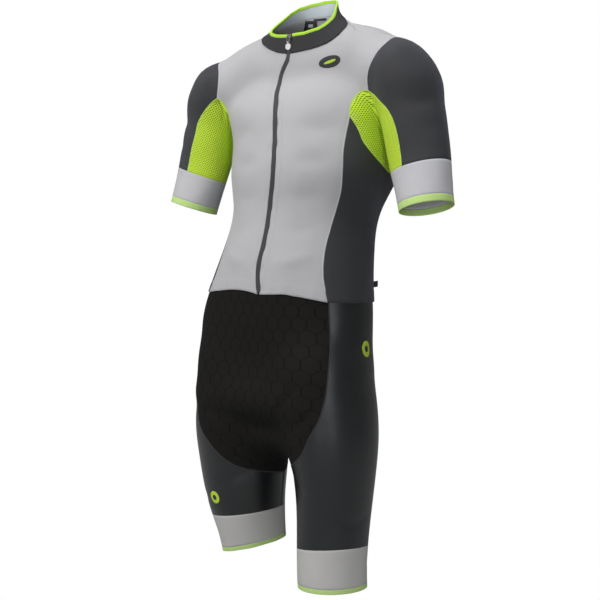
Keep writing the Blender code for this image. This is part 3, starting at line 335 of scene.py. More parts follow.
class Figure:
    """Soft union of the tubes; level zero is where the shorts' outer face lies."""

    def __init__(self) -> None:
        """Makes every tube for both sides."""
        self.tubes = {}
        for name in ("trunk", "shoulder", "neck", "arm", "leg"):
            for side in (1, -1):
                row = name if name != "leg" else "leg_left" if side > 0 else "leg_right"
                self.tubes[name, side] = Tube(row, 1 if name in ("trunk", "neck", "leg") else side)
        self.order = [self.tubes[n, s] for n in ("shoulder", "neck", "arm", "leg")
                      for s in ((1,) if n == "neck" else (1, -1))]

    def height(self, p: Array) -> Array:
        """Height over the figure: the smaller distance, less h^3 k / 6 where two are closer than k.

        Args:
            p: points.
        Returns:
            Heights in metres.
        """
        d = self.tubes["trunk", 1].distance(p)
        for tube in self.order:
            e, k = tube.distance(p), tube.softness(p)
            h = np.maximum(k - np.abs(d - e), 0) / k
            d = np.minimum(d, e) - h**3 * k / 6
        return d

    def slope(self, p: Array) -> Array:
        """Gradient of the height, from differences of 0.8 mm."""
        steps = np.eye(3) * 4e-4
        return np.stack([self.height(p + s) - self.height(p - s) for s in steps], -1) / 8e-4

    def normal(self, p: Array) -> Array:
        """Outward direction of the figure."""
        return unit(self.slope(p))

    def settle(self, p: Array, rounds: int = 4) -> Array:
        """Points moved onto level zero by p - g h / |g|^2, again and again.

        Args:
            p: points near the figure.
            rounds: how many steps.
        Returns:
            Points on it.
        """
        for _ in range(rounds):
            g = self.slope(p)
            p = p - g * (self.height(p) / np.maximum((g * g).sum(-1), 1e-6))[..., None]
        return p

    def at(self, name: str, along: Array, angle: Array, side: int = 1) -> Array:
        """Points on the figure straight out from a tube's axis.

        Args:
            name: tube.
            along: distances down it, millimetres.
            angle: angles from its front, degrees.
            side: 1 left, -1 right.
        Returns:
            Points in metres.
        """
        along, angle = np.atleast_1d(along) * MM, np.radians(np.atleast_1d(angle))
        along, angle = np.broadcast_arrays(along, angle)
        middle, out = self.tubes[name, side].ray(along, angle * (side if name in ("trunk", "neck") else 1))
        p, out = middle + out, unit(out)
        for _ in range(60):
            p = p - out * (np.clip(self.height(p), -0.01, 0.01) * 0.8)[..., None]
        return self.settle(p)

    def placed(self, rows: list, side: int = 1) -> Array:
        """Points on the figure for rows of (tube, along, angle) or ("point", x, y, z).

        Args:
            rows: the addresses.
            side: 1 left, -1 right.
        Returns:
            One point a row.
        """
        points = np.zeros((len(rows), 3))
        for kind in {row[0] for row in rows}:
            which = [i for i, row in enumerate(rows) if row[0] == kind]
            given = np.array([rows[i][1:] for i in which], float)
            if kind == "point":
                points[which] = self.settle(given * MM * (side, 1, 1), 8)
            else:
                points[which] = self.at(kind, given[:, 0], given[:, 1], side)
        return points

    def seam(self, name: str, side: int, count: int) -> Array:
        """A seam of the table as count + 1 even points on the figure."""
        rows = SEAMS[name] if name in SEAMS else SEAMS[name + ("_left" if side > 0 else "_right")]
        return self.through(self.placed(rows, side), count)

    def through(self, points: Array, count: int) -> Array:
        """Evenly spaced points of a smooth line on the figure, Hermite curves with slopes from the
        neighbours.

        Args:
            points: points to pass.
            count: number of spans.
        Returns:
            count + 1 points.
        """
        run = np.concatenate([[0], np.cumsum(np.linalg.norm(np.diff(points, axis=0), axis=1))])
        n, h = len(points), np.diff(run)
        if n == 2:
            fine = points[0] + np.linspace(0, 1, 40)[:, None] * (points[1] - points[0])
        else:
            t = np.linspace(0, run[-1], 40 * n)
            slopes = np.gradient(points, run, axis=0)
            i = np.clip(np.searchsorted(run, t) - 1, 0, n - 2)
            s, w = ((t - run[i]) / h[i])[:, None], h[i][:, None]
            fine = ((1 + 2 * s) * (1 - s)**2 * points[i] + s * (1 - s)**2 * w * slopes[i]
                    + s * s * (3 - 2 * s) * points[i + 1] + s * s * (s - 1) * w * slopes[i + 1])
        fine = self.settle(fine, 3)
        run = np.concatenate([[0], np.cumsum(np.linalg.norm(np.diff(fine, axis=0), axis=1))])
        even = np.linspace(0, run[-1], count + 1)
        return self.settle(np.stack([np.interp(even, run, fine[:, i]) for i in range(3)], -1), 2)

    def edge(self, name: str, rows: list, angles: Array, lower: float = 0.0) -> Array:
        """Points of an edge given by rows of (angle, distance down the tube)."""
        table = np.array(rows, float)
        angles = np.asarray(angles, float)
        turned = (angles + 180) % 360 - 180
        return self.at(name, np.interp(turned, table[:, 0], table[:, 1]) + lower, angles)

    def ring(self, name: str, tube: str, side: int, angles: Array, lower: float = 0.0) -> Array:
        """Points of a closed edge, mean + extra cos(angle - toward) down the tube."""
        mean, extra, toward = RINGS[name + ("_left" if side > 0 else "_right")]
        angles = np.asarray(angles, float)
        return self.at(tube, mean + extra * np.cos(np.radians(angles - toward)) + lower, angles, side)

    def shifted(self, line: Array, aside: float) -> Array:
        """A line moved sideways along the cloth, to its left seen from outside, by millimetres."""
        ahead = unit(np.gradient(line, axis=0))
        return self.settle(line + unit(np.cross(self.normal(line), ahead)) * aside * MM, 2)


def resample(rows: Array, count: int) -> Array:
    """The array's rows, read at count even places from first to last."""
    at = np.linspace(0, len(rows) - 1, count)
    i = np.minimum(at.astype(int), len(rows) - 2)
    part = (at - i).reshape((-1,) + (1,) * (rows.ndim - 1))
    return rows[i] * (1 - part) + rows[i + 1] * part


def refined(rows: Array, factor: int) -> Array:
    """The array's rows with factor spans in each, on Hermite curves with the neighbours' mean slope."""
    n = len(rows)
    at = np.linspace(0, n - 1, (n - 1) * factor + 1)
    i = np.minimum(at.astype(int), n - 2)
    s = (at - i).reshape((-1,) + (1,) * (rows.ndim - 1))
    slopes = np.gradient(rows, axis=0)
    return ((1 + 2 * s) * (1 - s)**2 * rows[i] + s * (1 - s)**2 * slopes[i]
            + s * s * (3 - 2 * s) * rows[i + 1] + s * s * (s - 1) * slopes[i + 1])


class Sheet:
    """Grid of points on the figure between four sewn edges, seen from outside: top and bottom run left to
    right, left
    and right run top to bottom."""

    def __init__(self, figure: Figure, top: Array, bottom: Array, left: Array, right: Array,
                 allow: dict[str, float] | None = None, side: int = 1, hold: float = 0.4,
                 finer: int = 1) -> None:
        """Spreads a coarse grid evenly, then carries it to the fine edges.

        Args:
            figure: what the grid lies on.
            top, bottom, left, right: edges with FINE points a coarse division.
            allow: millimetres by which an edge is drawn in from its seam.
            side: -1 swaps left and right, for a mirrored panel.
            hold: share of a cell that the outermost cells keep.
            finer: extra divisions of the fine grid.
        """
        if side < 0:
            top, bottom, left, right = top[::-1], bottom[::-1], right, left
        allow = {**dict.fromkeys(("top", "bottom", "left", "right"), 0.0), **(allow or {})}
        if side < 0:
            allow["left"], allow["right"] = allow["right"], allow["left"]
        self.figure = figure
        inward = {"top": -1, "bottom": 1, "left": 1, "right": -1}
        lines = {"top": top, "bottom": bottom, "left": left, "right": right}
        push = {}
        for key, line in lines.items():
            along = unit(np.gradient(line, axis=0))
            push[key] = unit(np.cross(figure.normal(line), along)) * inward[key]
        edge = {k: lines[k] + push[k] * allow[k] * MM for k in lines}
        for (a, i), (b, j) in ((("top", 0), ("left", 0)), (("top", -1), ("right", 0)),
                               (("bottom", 0), ("left", -1)), (("bottom", -1), ("right", -1))):
            corner = lines[a][i] + push[a][i] * allow[a] * MM + push[b][j] * allow[b] * MM
            edge[a][i], edge[b][j] = corner, corner
        coarse = self.spread({k: e[::FINE] for k, e in edge.items()},
                             {k: p[::FINE] for k, p in push.items()}, hold)
        fine = refined(np.swapaxes(refined(np.swapaxes(coarse, 0, 1), FINE), 0, 1), FINE)
        rows, columns = fine.shape[:2]
        down = (1 - smooth(np.arange(rows) / (1.5 * FINE)))[:, None, None]
        across = (1 - smooth(np.arange(columns) / (1.5 * FINE)))[None, :, None]
        to_top, to_bottom = edge["top"] - fine[0], edge["bottom"] - fine[-1]
        to_left, to_right = edge["left"] - fine[:, 0], edge["right"] - fine[:, -1]
        fine = (fine + down * to_top[None] + down[::-1] * to_bottom[None] + across * to_left[:, None]
                + across[:, ::-1] * to_right[:, None])
        if finer > 1:
            fine = refined(np.swapaxes(refined(np.swapaxes(fine, 0, 1), finer), 0, 1), finer)
        self.grid = figure.settle(fine, 2)

    def spread(self, edge: dict[str, Array], push: dict[str, Array], hold: float) -> Array:
        """Evenly spread grid inside the four edges: each point moves to the mean of its four neighbours.

        Args:
            edge: the four coarse edges.
            push: their directions into the panel.
            hold: share of a cell that the outermost cells keep.
        Returns:
            The coarse grid.
        """
        figure, grid = self.figure, None
        full = len(edge["left"]), len(edge["top"])
        for part in (4, 2, 1):
            rows, columns = (max(min(n, 4), -(-n // part)) for n in full)
            counts = {k: columns if k in ("top", "bottom") else rows for k in edge}
            sides, inward = ({k: resample(e[k], counts[k]) for k in e} for e in (edge, push))
            if grid is None:
                u, v = np.linspace(0, 1, columns)[None, :, None], np.linspace(0, 1, rows)[:, None, None]
                top, bottom, left, right = (sides[k] for k in ("top", "bottom", "left", "right"))
                grid = ((1 - v) * top[None] + v * bottom[None] + (1 - u) * left[:, None] + u * right[:, None]
                        - (1 - v) * ((1 - u) * top[0] + u * top[-1]) - v * ((1 - u) * bottom[0] + u * bottom[-1]))
            else:
                grid = resample(np.swapaxes(resample(np.swapaxes(grid, 0, 1), columns), 0, 1), rows)
            grid[0], grid[-1], grid[:, 0], grid[:, -1] = (sides[k] for k in ("top", "bottom", "left",
                                                                             "right"))
            for _ in range(12 * part):
                middle = (grid[:-2, 1:-1] + grid[2:, 1:-1] + grid[1:-1, :-2] + grid[1:-1, 2:]) / 4
                grid[1:-1, 1:-1] = figure.settle(middle, 1)
                nearest = (("top", grid[1]), ("bottom", grid[-2]), ("left", grid[:, 1]),
                           ("right", grid[:, -2]))
                for key, near in nearest:
                    away = near[1:-1] - sides[key][1:-1]
                    least = hold * np.linalg.norm(away, axis=1).sum() / max(len(away), 1)
                    lack = np.maximum(least - (away * inward[key][1:-1]).sum(-1), 0)
                    near[1:-1] += inward[key][1:-1] * lack[:, None]
        return self.untangle(figure.settle(grid, 2))

    def untangle(self, grid: Array) -> Array:
        """Moves inner points until every corner of every cell turns the right way.

        Args:
            grid: points on the figure.
        Returns:
            The grid without folded cells.
        """
        cells = ((slice(None, -1), slice(None, -1)), (slice(1, None), slice(None, -1)),
                 (slice(1, None), slice(1, None)), (slice(None, -1), slice(1, None)))
        normal = self.figure.normal(grid)
        for turn in range(60):
            normal = self.figure.normal(grid) if turn % 5 == 4 else normal
            move = np.zeros_like(grid)
            for k in range(4):
                here, ahead, behind = cells[k], cells[(k + 1) % 4], cells[k - 1]
                n, u, v = normal[here], grid[ahead] - grid[here], grid[behind] - grid[here]
                area = (n * np.cross(u, v)).sum(-1)
                least = 0.2 * np.abs(area).mean()
                to_ahead, to_behind = np.cross(v, n), np.cross(n, u)
                size = (to_ahead**2 + to_behind**2 + (to_ahead + to_behind)**2).sum(-1)
                step = (0.5 * np.maximum(least - area, 0) / np.maximum(size, 1e-12))[..., None]
                move[ahead] += step * to_ahead
                move[behind] += step * to_behind
                move[here] -= step * (to_ahead + to_behind)
            if np.abs(move[1:-1, 1:-1]).max(initial=0) < 1e-5:
                break
            grid[1:-1, 1:-1] = self.figure.settle((grid + move)[1:-1, 1:-1], 1)
        return self.figure.settle(grid, 2)


@dataclass(frozen=True)
class Crease:
    """Soft ridge (height above zero) or trough along a line, height exp(-(d / width)^2) at distance d,
    faded to
    nothing at both ends; with a pitch it is a row of ripples, times sin(2 pi s / pitch) along the line."""
    height: float
    width: float
    rows: tuple
    sides: tuple[int, ...] = (1, -1)
    pitch: float = 0.0
    fade: float = 1.0

    def lift(self, figure: Figure, points: Array) -> Array:
        """Height that the crease adds at each point, metres.

        Args:
            figure: what its line lies on.
            points: points of a panel, in rows.
        Returns:
            One number a point.
        """
        total = np.zeros(len(points))
        reach = 3 * self.width * MM
        for side in self.sides:
            line = figure.through(figure.placed(list(self.rows), side), 60)
            near = np.all((points > line.min(0) - reach) & (points < line.max(0) + reach), axis=1)
            if not near.any():
                continue
            away = np.linalg.norm(points[near, None] - line[None], axis=2)
            nearest = away.argmin(1)
            run = np.concatenate([[0], np.cumsum(np.linalg.norm(np.diff(line, axis=0), axis=1))])
            s = run[nearest]
            ends = smooth(np.minimum(s, run[-1] - s) / max(self.fade * 0.45 * run[-1],
                                                           1e-6)) if self.fade else 1.0
            wave = np.sin(2 * np.pi * s / (self.pitch * MM)) if self.pitch else 1.0
            total[near] += self.height * MM * np.exp(-(away.min(1) / (self.width * MM))**2) * ends * wave
        return total


# Creases of the jersey: soft forms of the chest and waist, pulls at the armpit, ripples by the zip and
# hems. The hidden
# back and sides carry similar ones.
JERSEY_CREASES = (
    Crease(-3.0, 17, (("trunk", 96, 12), ("trunk", 104, 30), ("trunk", 96, 46)), fade=1),
    Crease(-2.5, 14, (("trunk", 150, 8), ("trunk", 158, 26), ("trunk", 150, 42))),
    Crease(-2.3, 13, (("trunk", 205, 6), ("trunk", 214, 24), ("trunk", 206, 44))),
    Crease(-1.7, 12, (("trunk", 258, 10), ("trunk", 268, 26), ("trunk", 262, 42))),
    Crease(2.1, 11, (("trunk", 300, 44), ("trunk", 316, 24), ("trunk", 322, 6))),
    Crease(-1.7, 9, (("trunk", 190, 60), ("trunk", 214, 84), ("trunk", 232, 118))),
    Crease(-1.2, 9, (("trunk", 262, 56), ("trunk", 258, 84), ("trunk", 268, 118))),
    Crease(1.2, 8, (("trunk", 300, 60), ("trunk", 292, 88), ("trunk", 306, 120))),
    Crease(-2.3, 12, (("trunk", 210, 140), ("trunk", 222, 162), ("trunk", 216, 179))),
    Crease(-1.9, 11, (("trunk", 262, 136), ("trunk", 274, 158), ("trunk", 270, 179))),
    Crease(1.7, 10, (("trunk", 312, 128), ("trunk", 320, 150), ("trunk", 326, 176))),
    Crease(-1.2, 8, (("shoulder", 60, 150), ("shoulder", 96, 168), ("shoulder", 122, 190))),
    Crease(0.7, 5, (("trunk", 40, 2), ("trunk", 120, 2), ("trunk", 230, 2), ("trunk", 360, 4)), (1,), 34, 0),
    Crease(0.7, 5, (("trunk", 40, -2), ("trunk", 120, -2), ("trunk", 230, -2), ("trunk", 360, -1)), (1,),
           38, 0),
    Crease(0.5, 7, (("trunk", 368, 6), ("trunk", 366, 24), ("trunk", 376, 46)), (1, -1), 26, 0),
    Crease(0.4, 7, (("trunk", 382, 60), ("trunk", 384, 90), ("trunk", 386, 116)), (1, -1), 31, 0),
)
SLEEVE_CREASES = (
    Crease(-1.7, 10, (("arm", 52, 10), ("arm", 70, 40), ("arm", 66, 80))),
    Crease(-1.0, 9, (("arm", 100, 14), ("arm", 112, 50), ("arm", 104, 92))),
    Crease(-1.2, 9, (("arm", 62, 176), ("arm", 82, 150), ("arm", 88, 110))),
    Crease(0.9, 8, (("arm", 128, 120), ("arm", 138, 160), ("arm", 132, 184))),
)
GUSSET_CREASES = (
    Crease(-2.8, 2.6, (("point", 141, -44, -140), ("point", 148, -34, -158), ("point", 152, -22, -172))),
    Crease(1.9, 2.4, (("point", 146, -42, -138), ("point", 152, -32, -154), ("point", 156, -20, -168))),
    Crease(-2.1, 2.3, (("point", 151, -44, -134), ("point", 156, -36, -150), ("point", 160, -26, -166))),
    Crease(1.2, 2.2, (("point", 156, -44, -132), ("point", 161, -37, -146), ("point", 165, -28, -160))),
    Crease(-1.9, 2.6, (("point", 141, 60, -142), ("point", 148, 46, -160), ("point", 152, 34, -176))),
    Crease(1.2, 2.4, (("point", 148, 58, -140), ("point", 154, 44, -156), ("point", 158, 32, -170))),
)
SHORTS_CREASES = (
    Crease(-3.0, 9, (("trunk", 500, 34), ("trunk", 545, 26), ("trunk", 585, 14))),
    Crease(-2.1, 8, (("trunk", 540, 46), ("trunk", 572, 34), ("trunk", 600, 18))),
    Crease(1.2, 9, (("trunk", 470, 20), ("trunk", 500, 14), ("trunk", 540, 5))),
    Crease(-1.7, 10, (("leg", 220, 20), ("leg", 236, 60), ("leg", 228, 110))),
    Crease(-1.2, 9, (("leg", 250, 140), ("leg", 262, 180), ("leg", 250, 230))),
    Crease(-2.3, 9, (("trunk", 560, 120), ("trunk", 590, 140), ("trunk", 606, 160))),
    Crease(1.7, 10, (("leg", 90, 150), ("leg", 104, 180), ("leg", 96, 220))),
    Crease(-1.2, 9, (("leg", 150, -60), ("leg", 176, -30), ("leg", 190, 10))),
)
BAND_CREASES = (
    Crease(0.5, 9, (("leg", 320, -90), ("leg", 320, 0), ("leg", 320, 90), ("leg", 320, 180)), (1, -1), 47, 0),
    Crease(0.4, 8, (("arm", 190, -60), ("arm", 190, 40), ("arm", 190, 130), ("arm", 190, 220)), (1, -1),
           39, 0),
)


@dataclass
class Cloth:
    """A cloth piece: its grid on the figure, layer, relief and pattern places."""
    name: str
    grid: Array
    figure: Figure
    layer: str
    closed: bool = False
    creases: tuple[Crease, ...] = ()
    places: Array | None = None
    extra: Array | None = None

    def across(self) -> Array:
        """Running length along each row, with the closing span as a last column on a ring."""
        grid = np.concatenate([self.grid, self.grid[:, :1]], 1) if self.closed else self.grid
        return np.concatenate([np.zeros((len(grid), 1)),
                               np.cumsum(np.linalg.norm(np.diff(grid, axis=1), axis=2), axis=1)], 1)

    def down(self) -> Array:
        """Running length along each column."""
        return np.concatenate([np.zeros((1, self.grid.shape[1])),
                               np.cumsum(np.linalg.norm(np.diff(self.grid, axis=0), axis=2), axis=0)], 0)

    def flat(self) -> tuple[tuple[float, float], float]:
        """Width, length and area of the cut, from the grid's longest rows and columns and its cells.

        Returns:
            (width, length) in metres and the area in square metres.
        """
        grid = np.concatenate([self.grid, self.grid[:, :1]], 1) if self.closed else self.grid
        d1, d2 = grid[1:, 1:] - grid[:-1, :-1], grid[1:, :-1] - grid[:-1, 1:]
        area = float(np.linalg.norm(np.cross(d1, d2), axis=-1).sum() / 2)
        width = round(float(self.across()[:, -1].max()), 3)
        length = max(round(float(self.down()[-1].max()), 3), 0.011)
        area = min(max(area, 0.31 * width * length), width * length)
        return (width, length), area

    def build(self) -> bpy.types.Object:
        """Closed wall: outer face, inner face and a rounded rim between them, with a UV map in metres.

        Returns:
            The new object, in the scene.
        """
        outer, inner = LAYERS[self.layer]
        rows, columns = self.grid.shape[:2]
        normal = self.figure.normal(self.grid)
        points = self.grid.reshape(-1, 3)
        lift = np.zeros(rows * columns)
        for crease in self.creases:
            lift += crease.lift(self.figure, points)
        lift = lift.reshape(rows, columns)
        if self.layer == "jersey":
            lift = np.where(self.grid[..., 2] < -0.405, np.maximum(lift, -0.0006), lift)
        raised = lift + (0 if self.extra is None else self.extra)
        faces_out = self.grid + normal * (outer * MM + raised)[..., None]
        faces_in = self.grid + normal * (inner * MM + lift)[..., None]
        return self.closed_wall(faces_out, faces_in)

    def closed_wall(self, outside: Array, inside: Array) -> bpy.types.Object:
        """Puts both faces and the rim into a mesh.

        Args:
            outside, inside: grids of points of the same shape.
        Returns:
            The object.
        """
        rows, columns = outside.shape[:2]
        span = columns if self.closed else columns - 1
        index = np.arange(rows * columns).reshape(rows, columns)
        right = np.roll(index, -1, 1)[:, :span]
        left = index[:, :span]
        quads = np.stack([left[:-1], left[1:], right[1:], right[:-1]], -1).reshape(-1, 4)
        ring = [np.stack([index[0], np.roll(index[0], -1)], 1)[:span],
                np.stack([np.roll(index[-1], -1), index[-1]], 1)[:span]]
        if not self.closed:
            ring += [np.stack([index[1:, 0], index[:-1, 0]], 1), np.stack([index[:-1, -1], index[1:, -1]], 1)]
        rim = np.concatenate(ring)
        flat_out, flat_in = outside.reshape(-1, 3), inside.reshape(-1, 3)
        edge_ids, inverse = np.unique(rim, return_inverse=True)
        inverse = inverse.reshape(rim.shape)
        middle = (flat_out[edge_ids] + flat_in[edge_ids]) / 2
        half = np.linalg.norm(flat_out[edge_ids] - flat_in[edge_ids], axis=1, keepdims=True) / 2
        outward = self.outward(rim, flat_out, flat_in, edge_ids, inverse)
        middle = middle + outward * half * 0.45
        base_in, base_mid = len(flat_out), 2 * len(flat_out)
        mids = inverse + base_mid
        band_out = np.stack([rim[:, 0], rim[:, 1], mids[:, 1], mids[:, 0]], 1)
        band_in = np.stack([mids[:, 0], mids[:, 1], rim[:, 1] + base_in, rim[:, 0] + base_in], 1)
        faces = np.concatenate([quads, quads[:, ::-1] + base_in, band_out, band_in])
        vertices = np.concatenate([flat_out, flat_in, middle])
        places = self.corner_places(index, span)
        edge_uv = self.vertex_places().reshape(-1, 2)[rim]
        uv = np.concatenate([places, places[:, ::-1], edge_uv[:, [0, 1, 1, 0]], edge_uv[:, [0, 1, 1, 0]]])
        return add_mesh(self.name, vertices, faces, uv)

    def outward(self, rim: Array, out: Array, into: Array, ids: Array, inverse: Array) -> Array:
        """Directions along the cloth away from the panel, at each rim point, from the rim's run and the
        wall's normal.

        Args:
            rim: pairs of rim points, in running order.
            out, into: outer and inner points.
            ids: the rim's points.
            inverse: place of each pair's points in ids.
        Returns:
            Unit vectors.
        """
        thick = unit(out[rim[:, 0]] - into[rim[:, 0]])
        side = np.cross(out[rim[:, 1]] - out[rim[:, 0]], thick)
        total = np.zeros((len(ids), 3))
        np.add.at(total, inverse[:, 0], side)
        np.add.at(total, inverse[:, 1], side)
        return -unit(total)

    def vertex_places(self) -> Array:
        """Pattern places of the grid's points: the given ones, or lengths along rows and columns."""
        if self.places is not None:
            return self.places
        return np.stack([self.across()[:, :self.grid.shape[1]], self.down()], -1)

    def corner_places(self, index: Array, span: int) -> Array:
        """Pattern places of each face's corners; a ring's last face runs on to the full length round."""
        places = self.vertex_places()
        if self.closed:
            last = np.stack([self.across()[:, -1], places[:, 0, 1]], -1)[:, None]
            places = np.concatenate([places, last], 1)
        left, right = places[:, :span], places[:, 1:span + 1]
        return np.stack([left[:-1], left[1:], right[1:], right[:-1]], 2).reshape(-1, 4, 2)


def add_mesh(name: str, points: Array, faces: Array, uv: Array | None = None) -> bpy.types.Object:
    """New smooth-shaded mesh object at the origin.

    Args:
        name: its name.
        points: vertex places, metres.
        faces: vertex numbers, one row a face.
        uv: places in the pattern of each face's corners.
    Returns:
        The object.
    """
    mesh = bpy.data.meshes.new(name)
    size = faces.shape[1]
    mesh.vertices.add(len(points))
    mesh.vertices.foreach_set("co", np.ascontiguousarray(points, np.float32).ravel())
    mesh.loops.add(faces.size)
    mesh.loops.foreach_set("vertex_index", np.ascontiguousarray(faces, np.int32).ravel())
    mesh.polygons.add(len(faces))
    mesh.polygons.foreach_set("loop_start", np.arange(0, faces.size, size, dtype=np.int32))
    mesh.polygons.foreach_set("use_smooth", np.ones(len(faces), bool))
    mesh.update(calc_edges=True)
    if uv is not None:
        layer = mesh.uv_layers.new(name="cloth")
        layer.data.foreach_set("uv", np.ascontiguousarray(uv, np.float32).ravel())
    mesh.validate()
    obj = bpy.data.objects.new(name, mesh)
    bpy.context.scene.collection.objects.link(obj)
    return obj


class Wire:
    """A number in a shader graph; arithmetic on it adds Math nodes."""

    def __init__(self, tree: bpy.types.NodeTree, socket: bpy.types.NodeSocket) -> None:
        """Keeps the graph and the socket that the number comes from."""
        self.tree, self.socket = tree, socket

    def math(self, operation: str, *others: "Wire | float") -> "Wire":
        """One Math node on this number and the others.

        Args:
            operation: the node's operation.
            others: further inputs.
        Returns:
            The result.
        """
        node = self.tree.nodes.new("ShaderNodeMath")
        node.operation = operation
        for i, value in enumerate((self,) + others):
            if isinstance(value, Wire):
                self.tree.links.new(value.socket, node.inputs[i])
            else:
                node.inputs[i].default_value = value
        return Wire(self.tree, node.outputs[0])

    def __add__(self, other: "Wire | float") -> "Wire":
        """Sum."""
        return self.math("ADD", other)

    def __sub__(self, other: "Wire | float") -> "Wire":
        """Difference."""
        return self.math("SUBTRACT", other)

    def __mul__(self, other: "Wire | float") -> "Wire":
        """Product."""
        return self.math("MULTIPLY", other)

    def __truediv__(self, other: "Wire | float") -> "Wire":
        """Quotient."""
        return self.math("DIVIDE", other)

    def soft(self, low: float, high: float) -> "Wire":
        """Soft step from 0 at low to 1 at high."""
        node = self.tree.nodes.new("ShaderNodeMapRange")
        node.interpolation_type = "SMOOTHSTEP"
        self.tree.links.new(self.socket, node.inputs["Value"])
        node.inputs["From Min"].default_value, node.inputs["From Max"].default_value = low, high
        return Wire(self.tree, node.outputs["Result"])


class Group:
    """A shader node group with named inputs and outputs."""

    def __init__(self, name: str, inputs: dict[str, float | tuple], outputs: tuple[str, ...]) -> None:
        """Makes the group and its sockets.

        Args:
            name: the group's name.
            inputs: default value of each input; a tuple makes a vector.
            outputs: names of the value outputs.
        """
        self.tree = bpy.data.node_groups.new(name, "ShaderNodeTree")
        for label, value in inputs.items():
            kind = "NodeSocketVector" if isinstance(value, tuple) else "NodeSocketFloat"
            socket = self.tree.interface.new_socket(label, in_out="INPUT", socket_type=kind)
            socket.default_value = value
        for label in outputs:
            self.tree.interface.new_socket(label, in_out="OUTPUT", socket_type="NodeSocketFloat")
        self.entry = self.tree.nodes.new("NodeGroupInput")
        self.exit = self.tree.nodes.new("NodeGroupOutput")

    def given(self, label: str) -> Wire:
        """An input as a number."""
        return Wire(self.tree, self.entry.outputs[label])

    def plane(self) -> tuple[Wire, Wire]:
        """The first two parts of the input Vector."""
        split = self.tree.nodes.new("ShaderNodeSeparateXYZ")
        self.tree.links.new(self.entry.outputs["Vector"], split.inputs[0])
        return Wire(self.tree, split.outputs[0]), Wire(self.tree, split.outputs[1])

    def give(self, label: str, value: Wire) -> None:
        """Sends a number to an output."""
        self.tree.links.new(value.socket, self.exit.inputs[label])


def knit_group() -> bpy.types.NodeTree:
    """Knitted loops: columns of Vs, height (0.5 + 0.5 sin(2 pi (v/course + |u'|))) (1 - (2u')^4), u' from
    each column's
    middle.

    Returns:
        The group, with outputs Height and Shade.
    """
    group = Group("knit_loops", {"Vector": (0.0, 0.0, 0.0), "Wale": 0.0009, "Course": 0.0007},
                  ("Height", "Shade"))
    u, v = group.plane()
    column = (u / group.given("Wale")).math("FRACT").math("SUBTRACT", 0.5).math("ABSOLUTE")
    phase = (v / group.given("Course") + column) * (2 * math.pi)
    loops = phase.math("SINE") * 0.5 + 0.5
    side = (column * 2).math("POWER", 4.0)
    height = loops * (side * -1 + 1)
    group.give("Height", height)
    group.give("Shade", height.soft(0.0, 0.7))
    return group.tree


def mesh_group() -> bpy.types.NodeTree:
    """Open mesh: round holes in offset rows, each the place where the distance to its centre is under the
    hole's size.

    Returns:
        The group, with outputs Height and Hole.
    """
    group = Group("open_mesh", {"Vector": (0.0, 0.0, 0.0), "Pitch": 0.0036, "Row": 0.0030},
                  ("Height", "Hole"))
    u, v = group.plane()
    row = v / group.given("Row")
    odd = (row.math("FLOOR") * 0.5).math("FRACT")
    x = (u / group.given("Pitch") + odd).math("FRACT") - 0.5
    y = row.math("FRACT") - 0.5
    away = (x * x + y * y).math("SQRT")
    hole = away.soft(0.36, 0.2)
    group.give("Hole", hole)
    group.give("Height", hole * -1 + 1)
    return group.tree


def cell_group() -> bpy.types.NodeTree:
    """Six-sided cells: two offset rows of centres, and a groove where the nearest two are equally far.

    Returns:
        The group, with outputs Height and Groove.
    """
    group = Group("pressed_cells", {"Vector": (0.0, 0.0, 0.0), "Width": 0.025, "Row": 0.021},
                  ("Height", "Groove"))
    u, v = group.plane()
    x, y = u / group.given("Width"), v / (group.given("Row") * 2)

    def to_nearest(shift: float) -> tuple[Wire, Wire]:
        """Distance squared to the nearest centre of one set, and the sideways part of it."""
        a = (x + shift).math("FRACT") - 0.5
        b = (y + shift).math("FRACT") - 0.5
        return a * a + b * b * 3.0, a.math("ABSOLUTE")

    first, first_side = to_nearest(0.0)
    second, second_side = to_nearest(0.5)
    nearer = first.math("LESS_THAN", second)
    between = (first - second).math("ABSOLUTE")
    side = (first_side * nearer + second_side * (nearer * -1 + 1)) * -1 + 0.5
    groove = between.math("MINIMUM", side).soft(0.075, 0.0)
    group.give("Groove", groove)
    group.give("Height", groove * -1 + 1)
    return group.tree


def rib_group() -> bpy.types.NodeTree:
    """Ribs, height |cos(pi u / pitch)| with a fine crossing thread.

    Returns:
        The group, with outputs Height and Shade.
    """
    group = Group("elastic_ribs", {"Vector": (0.0, 0.0, 0.0), "Pitch": 0.0012, "Thread": 0.0006},
                  ("Height", "Shade"))
    u, v = group.plane()
    rib = (u / group.given("Pitch") * math.pi).math("COSINE").math("ABSOLUTE")
    thread = (v / group.given("Thread") * math.pi).math("COSINE").math("ABSOLUTE")
    height = rib * 0.8 + thread * 0.2
    group.give("Height", height)
    group.give("Shade", height.soft(0.0, 0.8))
    return group.tree


def blotch_group() -> bpy.types.NodeTree:
    """Soft uneven tone of dyed cloth: two sizes of noise over the object, as a factor round 1.

    Returns:
        The group, with output Tone.
    """
    group = Group("dye_tone", {"Vector": (0.0, 0.0, 0.0), "Amount": 0.05}, ("Tone",))
    noises = []
    for scale in (9.0, 210.0):
        noise = group.tree.nodes.new("ShaderNodeTexNoise")
        noise.inputs["Scale"].default_value = scale
        noise.inputs["Detail"].default_value = 3.0
        group.tree.links.new(group.entry.outputs["Vector"], noise.inputs["Vector"])
        noises.append(Wire(group.tree, noise.outputs["Fac"]) - 0.5)
    tone = (noises[0] + noises[1] * 0.6) * 2.0 * group.given("Amount") + 1.0
    group.give("Tone", tone)
    return group.tree


